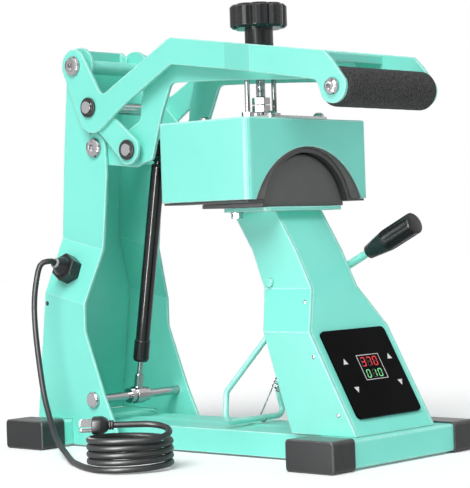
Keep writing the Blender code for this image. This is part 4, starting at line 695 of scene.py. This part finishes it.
# %% What every tree shares
def lifted(tree, mesh, height):
    """A mesh moved up by a height."""
    offset = add(tree, "ShaderNodeCombineXYZ", {"Z": height}).outputs["Vector"]
    return add(tree, "GeometryNodeTransform", {"Geometry": mesh, "Translation": offset}).outputs["Geometry"]


def set_on_points(tree, given, out, shape, **inputs):
    """The end of a tree: the shape on every point, made real and given its metal."""
    inputs.update({"Points": given["Geometry"], "Instance": shape})
    copies = add(tree, "GeometryNodeInstanceOnPoints", inputs).outputs["Instances"]
    real = add(tree, "GeometryNodeRealizeInstances", {"Geometry": copies}).outputs["Geometry"]
    painted = add(tree, "GeometryNodeSetMaterial", {"Geometry": real, "Material": given["Metal"]})
    feed(tree, out, {"Geometry": painted.outputs["Geometry"]})


def grow(name, tree, points, values, body, smooth_angle=40.0):
    """Runs a node tree on points in millimetres and keeps the result as a plain mesh."""
    mesh = bpy.data.meshes.new(name)
    mesh.from_pydata([tuple(Vector(p) * MM) for p in points], [], [])
    made = new_object(name, mesh)
    step = made.modifiers.new("Grow", "NODES")
    step.node_group = tree
    for item in tree.interface.items_tree:
        if item.item_type == "SOCKET" and item.in_out == "INPUT" and item.name in values:
            step[item.identifier] = values[item.name]
    bpy.context.view_layer.update()
    graph = bpy.context.evaluated_depsgraph_get()
    grown = bpy.data.meshes.new_from_object(made.evaluated_get(graph), depsgraph=graph)
    made.modifiers.clear()
    made.data = grown
    grown.set_sharp_from_angle(angle=math.radians(smooth_angle))
    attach(made, body)
    print("%s: %d faces" % (name, len(grown.polygons)))


# %% Screw tree
screw_tree, given, out = new_tree(
    "Button head screws", "GeometryNodeTree",
    [("Geometry", "Geometry", None), ("Head radius", "Float", 5.0), ("Head height", "Float", 2.6),
     ("Socket radius", "Float", 2.2), ("Turn", "Vector", (0.0, 0.0, 0.0)), ("Unit", "Vector", (MM, MM, MM)),
     ("Metal", "Material", None)],
    [("Geometry", "Geometry")])
ball = add(screw_tree, "GeometryNodeMeshUVSphere", {"Segments": 28, "Rings": 16, "Radius": 1.0})
head_size = add(screw_tree, "ShaderNodeCombineXYZ",
                {"X": given["Head radius"], "Y": given["Head radius"], "Z": given["Head height"]})
dome = add(screw_tree, "GeometryNodeTransform",
           {"Geometry": ball.outputs["Mesh"], "Scale": head_size.outputs["Vector"]})
key = add(screw_tree, "GeometryNodeMeshCylinder",
          {"Vertices": 6, "Radius": given["Socket radius"], "Depth": given["Head height"]})
cut = add(screw_tree, "GeometryNodeMeshBoolean",
          {"Mesh 1": dome.outputs["Geometry"],
           "Mesh 2": lifted(screw_tree, key.outputs["Mesh"], given["Head height"])},
          operation="DIFFERENCE", solver="EXACT")
set_on_points(screw_tree, given, out, cut.outputs["Mesh"], Rotation=given["Turn"], Scale=given["Unit"])
print("screw tree:", len(screw_tree.nodes), "nodes")

# %% Button heads
QUARTER = math.pi / 2
PLATE_HEAD, SMALL_HEAD, COLUMN_HEAD = (5.8, 4.6, 2.4), (2.1, 1.0, 0.8), (2.4, 0.9, 1.0)
PLATE_INSET, PLATE_LIFT = 7.0, 0.1
low, high = corners_of("pressure_plate")
PLATE_PLACES = [(x, y, high.z + PLATE_LIFT) for x in (low.x + PLATE_INSET, high.x - PLATE_INSET)
                for y in (low.y + PLATE_INSET, high.y - PLATE_INSET)]
FLANGE_X, COLUMN_X = corners_of("pedestal_side_right")[1].x, corners_of("column_side_right")[1].x
SIDE_SCREWS = [
    ("flange_screws_", [(FLANGE_X, -163.4, 101.0), (FLANGE_X, -191.4, 47.6)], SMALL_HEAD, QUARTER, "chrome"),
    ("slope_screw_", [(42.6, -140.0, 151.8)], SMALL_HEAD, math.radians(58.0), "chrome"),
    ("column_screw_", [(COLUMN_X, 202.4, 150.1)], COLUMN_HEAD, QUARTER, "black_oxide")]


def screws(name, places, head, tilt, finish, body):
    """Button heads of one size; tilt leans them from upright towards the right."""
    values = dict(zip(("Head radius", "Head height", "Socket radius"), head))
    values.update({"Turn": (0.0, tilt, 0.0), "Metal": FINISH[finish]})
    grow(name, screw_tree, places, values, body)


screws("plate_screws", PLATE_PLACES, PLATE_HEAD, 0.0, "chrome", "heater")
for word, sign in SIDES:
    for kind, places, head, tilt, finish in SIDE_SCREWS:
        screws(kind + word, [(sign * x, y, z) for x, y, z in places], head, sign * tilt, finish, "base")

# %% [markdown]
# ## The lever's grip
#
# The lever ends in a moulded grip: a cone that widens into a fluted barrel with a crowned end.
# Cutting eight flutes with Booleans would leave hard starts. Here every ring's radius dips eight
# times on its way round, and the dip fades out towards both ends of the barrel.

# %% Lever grip
LEVER_START = Vector((45.0, -149.68, 195.91)) * MM
LEVER_WAY = Vector((0.0, -0.9010, 0.4338)).normalized()
LEVER_ABOVE = Vector((0.0, 0.4338, 0.9010)).normalized()
LEVER_RINGS = [(0.0, 4.3, 0.0), (0.0, 6.2, 0.0), (0.7, 7.0, 0.0), (12.0, 8.7, 0.0), (23.0, 10.4, 0.0),
               (25.5, 10.8, 0.0), (27.5, 10.95, 0.15), (29.5, 11.0, 0.6), (31.5, 11.0, 0.9),
               (34.0, 11.0, 1.0), (58.0, 11.0, 1.0), (60.5, 11.0, 0.8), (62.0, 11.0, 0.3),
               (62.8, 10.8, 0.0), (63.5, 10.1, 0.0), (63.8, 9.0, 0.0), (64.3, 5.0, 0.0), (64.6, 1.0, 0.0)]
FLUTES, FLUTE_DEPTH, LEVER_SIDES = 8, 0.85, 96
rows = [circle(LEVER_START + LEVER_WAY * reach * MM, RIGHT, LEVER_ABOVE,
               lambda turn: (radius - FLUTE_DEPTH * dip * (0.5 + 0.5 * math.cos(FLUTES * turn)) ** 2) * MM,
               LEVER_SIDES) for reach, radius, dip in LEVER_RINGS]
fluted_grip = piece("fluted_grip", [rows], FINISH["black_plastic"], "lever")
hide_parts("lever_grip")

# %% [markdown]
# ## Rings, gland nut and top flange
#
# Black snap rings hold the toggle's pins, a hexagon nut and a grey seal close the cord's gland,
# and a folded flange closes the column between its lugs. Primitives would need their own placing
# and bending. One helper turns the round parts, and the flange is a short run of rows.

# %% Turned rings
SNAP_RING = [(0.0, 6.8), (1.9, 6.8), (2.2, 7.2), (2.2, 9.9), (1.9, 10.35), (0.0, 10.35)]
TOGGLE_PINS = (("link_ring_", "link", "link_pin_left", 47.6), ("handle_ring_", "handle", "handle_pin", 51.6))


def turned(name, centre, way, first, profile, finish, body, corners=0, count=48, blunt_share=0.985):
    """A ring spun round an axis, or a nut with corners; profile is (reach, radius) in mm."""
    wedge = math.pi / corners if corners else 0.0

    def radius_at(turn, radius):
        if not corners:
            return radius * MM
        flat_at = radius * math.cos(wedge) / math.cos(turn % (2 * wedge) - wedge)
        return min(flat_at, radius * blunt_share) * MM

    rows = [circle(centre + way * reach * MM, first, way.cross(first).normalized(),
                   lambda turn: radius_at(turn, radius), count) for reach, radius in profile]
    piece(name, [rows], FINISH[finish], body, smooth=not corners, looped=True)


for word, sign in SIDES:
    for kind, body, pin, seat in TOGGLE_PINS:
        place = middle_of(pin)
        place.x = sign * seat
        turned(kind + word, place * MM, RIGHT * sign, UP, SNAP_RING, "black_oxide", body)

# %% Gland
GLAND_UP = Vector((0.3387, -0.0504, 0.9396)).normalized()
NUT = [(-26.1, 9.0), (-26.1, 15.3), (-12.9, 15.3), (-12.1, 14.2), (-12.1, 9.0)]
SEAL = [(-1.6, 3.1), (-1.6, 5.3), (-0.2, 5.3), (0.4, 4.9), (0.5, 4.2), (0.3, 3.1)]
turned("gland_nut", MOUTH, OUTWARD, GLAND_UP, NUT, "black_plastic", "base", corners=6, count=72)
turned("gland_seal", MOUTH, OUTWARD, GLAND_UP, SEAL, "grey_seal", "base")

# %% Top flange
SHEET, BEND, BEND_STEPS = 3.0, 5.0, 6
FLANGE_HALF = corners_of("column_side_right")[0].x - GAP / MM
LUG_EDGES = [(171.5, 398.0, 413.0), (178.0, 400.0, 418.0)]
FLANGE_TOP = 419.6
BACK_EDGES = (corners_of("column_back")[1].z, FLANGE_TOP)
plan = [(-FLANGE_HALF, y, SHEET - FLANGE_HALF, y, low, high) for y, low, high in LUG_EDGES]
bend_hub = Vector((BEND - FLANGE_HALF, LUG_EDGES[-1][0]))
for i in range(1, BEND_STEPS + 1):
    turn = QUARTER * i / BEND_STEPS
    spoke = Vector((-math.cos(turn), math.sin(turn)))
    plan.append((*(bend_hub + spoke * BEND), *(bend_hub + spoke * (BEND - SHEET)), *BACK_EDGES))
plan += [(-x, y, -u, v, low, high) for x, y, u, v, low, high in reversed(plan)]
rows = [[Vector(p) * MM for p in ((x, y, low), (x, y, high), (u, v, high), (u, v, low))]
        for x, y, u, v, low, high in plan]
piece("top_flange", [rows], FINISH["mint_paint"], "base", smooth=False)

# %% [markdown]
# ## Hex bolts under the form
#
# Two hex bolts on washers hold the form's bracket from below. They could be cut from a cylinder,
# but a six-sided cylinder is a hexagon already, so the tree only stacks one on a disc.

# %% Hex tree
hex_tree, given, out = new_tree(
    "Hex heads", "GeometryNodeTree",
    [("Geometry", "Geometry", None), ("Hex radius", "Float", 6.0 * MM), ("Hex height", "Float", 5.0 * MM),
     ("Washer radius", "Float", 7.0 * MM), ("Washer height", "Float", 1.0 * MM),
     ("Turn", "Vector", (0.0, 0.0, 0.0)), ("Metal", "Material", None)],
    [("Geometry", "Geometry")])
nut = add(hex_tree, "GeometryNodeMeshCylinder",
          {"Vertices": 6, "Radius": given["Hex radius"], "Depth": given["Hex height"]})
nut_middle = reckon(hex_tree, "MULTIPLY_ADD", given["Hex height"], 0.5, given["Washer height"])
disc = add(hex_tree, "GeometryNodeMeshCylinder",
           {"Vertices": 32, "Radius": given["Washer radius"], "Depth": given["Washer height"]})
disc_middle = reckon(hex_tree, "MULTIPLY", given["Washer height"], 0.5)
stack = add(hex_tree, "GeometryNodeJoinGeometry")
for mesh, middle in ((nut, nut_middle), (disc, disc_middle)):
    feed(hex_tree, stack, {"Geometry": lifted(hex_tree, mesh.outputs["Mesh"], middle)})
set_on_points(hex_tree, given, out, stack.outputs["Geometry"], Rotation=given["Turn"])

# %% Bracket bolts
BOLT_INSET, BOLT_BACK = 9.0, 12.0
low, high = corners_of("form_bracket")
BOLT_PLACES = [(x, high.y - BOLT_BACK, low.z) for x in (low.x + BOLT_INSET, high.x - BOLT_INSET)]
grow("bracket_bolts", hex_tree, BOLT_PLACES,
     {"Hex radius": 5.8 * MM, "Hex height": 5.2 * MM, "Washer radius": 6.8 * MM, "Washer height": 0.9 * MM,
      "Turn": (math.pi, 0.0, 0.0), "Metal": FINISH["chrome"]}, "base", smooth_angle=25.0)

# %% [markdown]
# ## The pressure screw's thread
#
# The knob raises and lowers the heater on a threaded screw. A bump texture would leave its outline
# smooth, so a helix is swept with a small four-sided ridge. Radius, rounds and ridge are inputs.

# %% Thread tree
thread_tree, given, out = new_tree(
    "Screw thread", "GeometryNodeTree",
    [("Geometry", "Geometry", None), ("Radius", "Float", 4.4 * MM), ("Height", "Float", 30.0 * MM),
     ("Rounds", "Float", 20.0), ("Ridge", "Float", 0.5 * MM), ("Metal", "Material", None)],
    [("Geometry", "Geometry")])
helix = add(thread_tree, "GeometryNodeCurveSpiral",
            {"Resolution": 28, "Rotations": given["Rounds"], "Start Radius": given["Radius"],
             "End Radius": given["Radius"], "Height": given["Height"]})
ridge = add(thread_tree, "GeometryNodeCurvePrimitiveCircle", {"Resolution": 4, "Radius": given["Ridge"]})
swept = add(thread_tree, "GeometryNodeCurveToMesh",
            {"Curve": helix.outputs["Curve"], "Profile Curve": ridge.outputs["Curve"], "Fill Caps": True})
set_on_points(thread_tree, given, out, swept.outputs["Mesh"])
THREAD_START = (0.0, middle_of("pressure_screw").y, 353.0)
grow("screw_thread", thread_tree, [THREAD_START],
     {"Radius": 4.3 * MM, "Height": 33.0 * MM, "Rounds": 22.0, "Ridge": 0.55 * MM,
      "Metal": FINISH["chrome"]}, "knob")

# %% [markdown]
# ## The display and its keys
#
# The control panel is a glossy film with two rows of seven-segment digits and four arrow keys.
# Text objects would bring a typeface with them. Segments are six-cornered bars, so each digit is
# built as the real display builds it, and the dark segments show faintly beside the lit ones.

# %% Panel places
PANEL_OUT = Vector((0.0, -0.8744, 0.4853))
PANEL_UP = Vector((0.0, 0.4853, 0.8744))
PANEL_FACE = 202.005 * MM
PANEL_TOP = 29.6 * MM
PANEL_WIDE = 2 * corners_of("control_panel")[1].x
SUNK, LIT_PROUD, DARK_PROUD, INK_PROUD = -0.05, 0.22, 0.10, 0.14


def on_panel(x, y, lift):
    """A point of the panel: x and y in millimetres from its top left corner, y down."""
    return (RIGHT * (x - PANEL_WIDE / 2) * MM + PANEL_UP * (PANEL_TOP - y * MM)
            + PANEL_OUT * (PANEL_FACE + lift * MM))


def inlay(name, shapes, proud, finish):
    """Thin flat shapes set in the panel, each a list of corners."""
    strips = [[[on_panel(x, y, lift) for x, y in shape] for lift in (SUNK, proud)] for shape in shapes]
    piece(name, strips, finish, "base", smooth=False)


# %% Seven segments
SEGMENTS = {"a": (0, 0, 1, 0), "b": (1, 0, 1, 1), "c": (1, 1, 1, 2), "d": (0, 2, 1, 2),
            "e": (0, 1, 0, 2), "f": (0, 0, 0, 1), "g": (0, 1, 1, 1)}
LIT = {"0": "abcdef", "1": "bc", "3": "abcdg", "7": "abc"}
LEAN, TIP_GAP = 0.35, 0.2


def bar(start, end, thick):
    """A six-cornered segment between two points."""
    along = (Vector(end) - Vector(start)).normalized()
    side, inner = Vector((-along.y, along.x)) * thick / 2, along * thick / 2
    a, b = Vector(start) + along * TIP_GAP, Vector(end) - along * TIP_GAP
    return [tuple(p) for p in (a, a + inner + side, b - inner + side, b, b - inner - side, a + inner - side)]


def digit_bars(text, left, top, wide, tall, thick, step):
    """The lit and the unlit bars of a row of digits."""
    lit, unlit = [], []
    for place, sign in enumerate(text):
        for letter, (x0, y0, x1, y1) in SEGMENTS.items():
            ends = [(left + place * step + x * wide + (2 - y) * LEAN, top + y * tall / 2)
                    for x, y in ((x0, y0), (x1, y1))]
            (lit if letter in LIT[sign] else unlit).append(bar(*ends, thick))
    return lit, unlit


red_lit, red_dark = digit_bars("370", left=39.2, top=31.0, wide=5.2, tall=8.6, thick=0.95, step=8.9)
green_lit, green_dark = digit_bars("010", left=39.8, top=44.0, wide=4.8, tall=7.6, thick=0.8, step=8.7)
inlay("red_digits", red_lit, LIT_PROUD, RED)
inlay("green_digits", green_lit, LIT_PROUD, GREEN)
inlay("dark_segments", red_dark + green_dark, DARK_PROUD, UNLIT)

# %% Frame and arrows
X0, X1, Y0, Y1, LINE = 35.3, 68.4, 28.0, 54.2, 0.55
ARROWS = ((16.0, 33.0, -1), (16.0, 62.5, 1), (83.5, 32.0, -1), (83.5, 60.5, 1))
ARROW_HALF_WIDE, ARROW_HALF_TALL = 3.4, 2.9
marks = [[(a, b), (c, b), (c, d), (a, d)] for a, b, c, d in (
    (X0, Y0, X1, Y0 + LINE), (X0, Y1 - LINE, X1, Y1),
    (X0, Y0 + LINE, X0 + LINE, Y1 - LINE), (X1 - LINE, Y0 + LINE, X1, Y1 - LINE))]
for x, y, way in ARROWS:
    base, tip = y - way * ARROW_HALF_TALL, y + way * ARROW_HALF_TALL
    marks.append([(x - ARROW_HALF_WIDE, base), (x + ARROW_HALF_WIDE, base), (x, tip)])
inlay("panel_marks", marks, INK_PROUD, INK)

# %% [markdown]
# ## Floor, backdrop and light
#
# The press stands on white paper in plain soft light. One broad sun lights the near side and the
# top, and the world fills the shadows. A white sky that only the camera and reflections see keeps
# the background white without pouring more light on the paint; in reflections it breaks into
# soft cards, as in a studio. Two lamps that show only in gloss draw the long highlights on metal
# and enamel, where a brighter sun would bleach the paint.

# %% Floor
FLOOR_HALF, FLOOR_LEVEL = 6.0, -0.2 * MM
FIBRE_SCALE, PAPER_TONES, PAPER_GLOW = 900.0, (rgba(0.955), rgba(0.975)), 0.16
paper = bpy.data.materials.new("white_paper")
paper.use_nodes = True
tree = paper.node_tree
eye = add(tree, "ShaderNodeLightPath").outputs["Is Camera Ray"]
feed(tree, tree.nodes["Principled BSDF"],
     {"Base Color": mix(tree, noise(tree, FIBRE_SCALE), *PAPER_TONES), "Roughness": 0.9,
      "Specular IOR Level": 0.1, "Emission Color": WHITE,
      "Emission Strength": reckon(tree, "MULTIPLY", eye, PAPER_GLOW)})
floor_corners = [(u * FLOOR_HALF, v * FLOOR_HALF, FLOOR_LEVEL) for u, v in CORNERS]
floor_mesh = bpy.data.meshes.new("paper_floor")
floor_mesh.from_pydata(floor_corners, [], [(0, 1, 2, 3)])
floor_mesh.materials.append(paper)
new_object("paper_floor", floor_mesh)
print("floor: %.0f m square" % (2 * FLOOR_HALF))

# %% World
SKY_TONE, SKY_STRENGTH = rgba(0.97, 0.985, 1.0), 0.345
CARD_SCALE, CARD_NOISE, CARD_TONES = 2.4, (0.40, 0.52), (0.30, 1.0)
world = bpy.data.worlds.new("soft_room")
bpy.context.scene.world = world
world.use_nodes = True
sky = world.node_tree
sky.nodes.clear()
rays = add(sky, "ShaderNodeLightPath").outputs
seen = reckon(sky, "MAXIMUM", rays["Is Camera Ray"], rays["Is Glossy Ray"])
shown = reckon(sky, "MAXIMUM", seen, rays["Is Transmission Ray"])
fill = add(sky, "ShaderNodeBackground", {"Color": SKY_TONE, "Strength": SKY_STRENGTH})
whole_sky = add(sky, "ShaderNodeTexCoord").outputs["Generated"]
cards = span(sky, noise(sky, CARD_SCALE, whole_sky, Detail=0.0), *CARD_NOISE, *CARD_TONES)
strength = reckon(sky, "MAXIMUM", cards, rays["Is Camera Ray"])
white = add(sky, "ShaderNodeBackground", {"Color": WHITE, "Strength": strength})
both = add(sky, "ShaderNodeMixShader",
           {"Fac": shown, 1: fill.outputs["Background"], 2: white.outputs["Background"]})
add(sky, "ShaderNodeOutputWorld", {"Surface": both.outputs["Shader"]})
print("world:", len(sky.nodes), "nodes")

# %% Lamps
SUN_WAY, SUN_STRENGTH, SUN_SPREAD = Vector((0.66, 0.27, -0.70)), 2.52, math.radians(34.0)
sun = bpy.data.lights.new("broad_sun", "SUN")
sun.energy, sun.angle = SUN_STRENGTH, SUN_SPREAD
new_object("broad_sun", sun).rotation_euler = SUN_WAY.to_track_quat("-Z", "Y").to_euler()


def reflector(name, place, target, wide, tall, watts):
    """A card that shows only in gloss, for long highlights."""
    card = bpy.data.lights.new(name, "AREA")
    card.shape = "RECTANGLE"
    card.size, card.size_y, card.energy = wide, tall, watts
    stand = new_object(name, card)
    way = Vector(target) - Vector(place)
    stand.matrix_world = Matrix.Translation(place) @ way.to_track_quat("-Z", "Y").to_matrix().to_4x4()
    stand.visible_camera = stand.visible_diffuse = False


reflector("tall_card", (-1.95, -0.55, 0.75), (0.0, 0.0, 0.22), wide=0.3, tall=1.9, watts=14.0)
reflector("low_card", (-0.58, -0.05, 0.14), (0.0, 0.11, 0.20), wide=0.16, tall=0.42, watts=9.0)
bpy.context.scene.view_settings.view_transform = "Standard"
print("light: sun %.2f, two cards and a filling sky" % sun.energy)
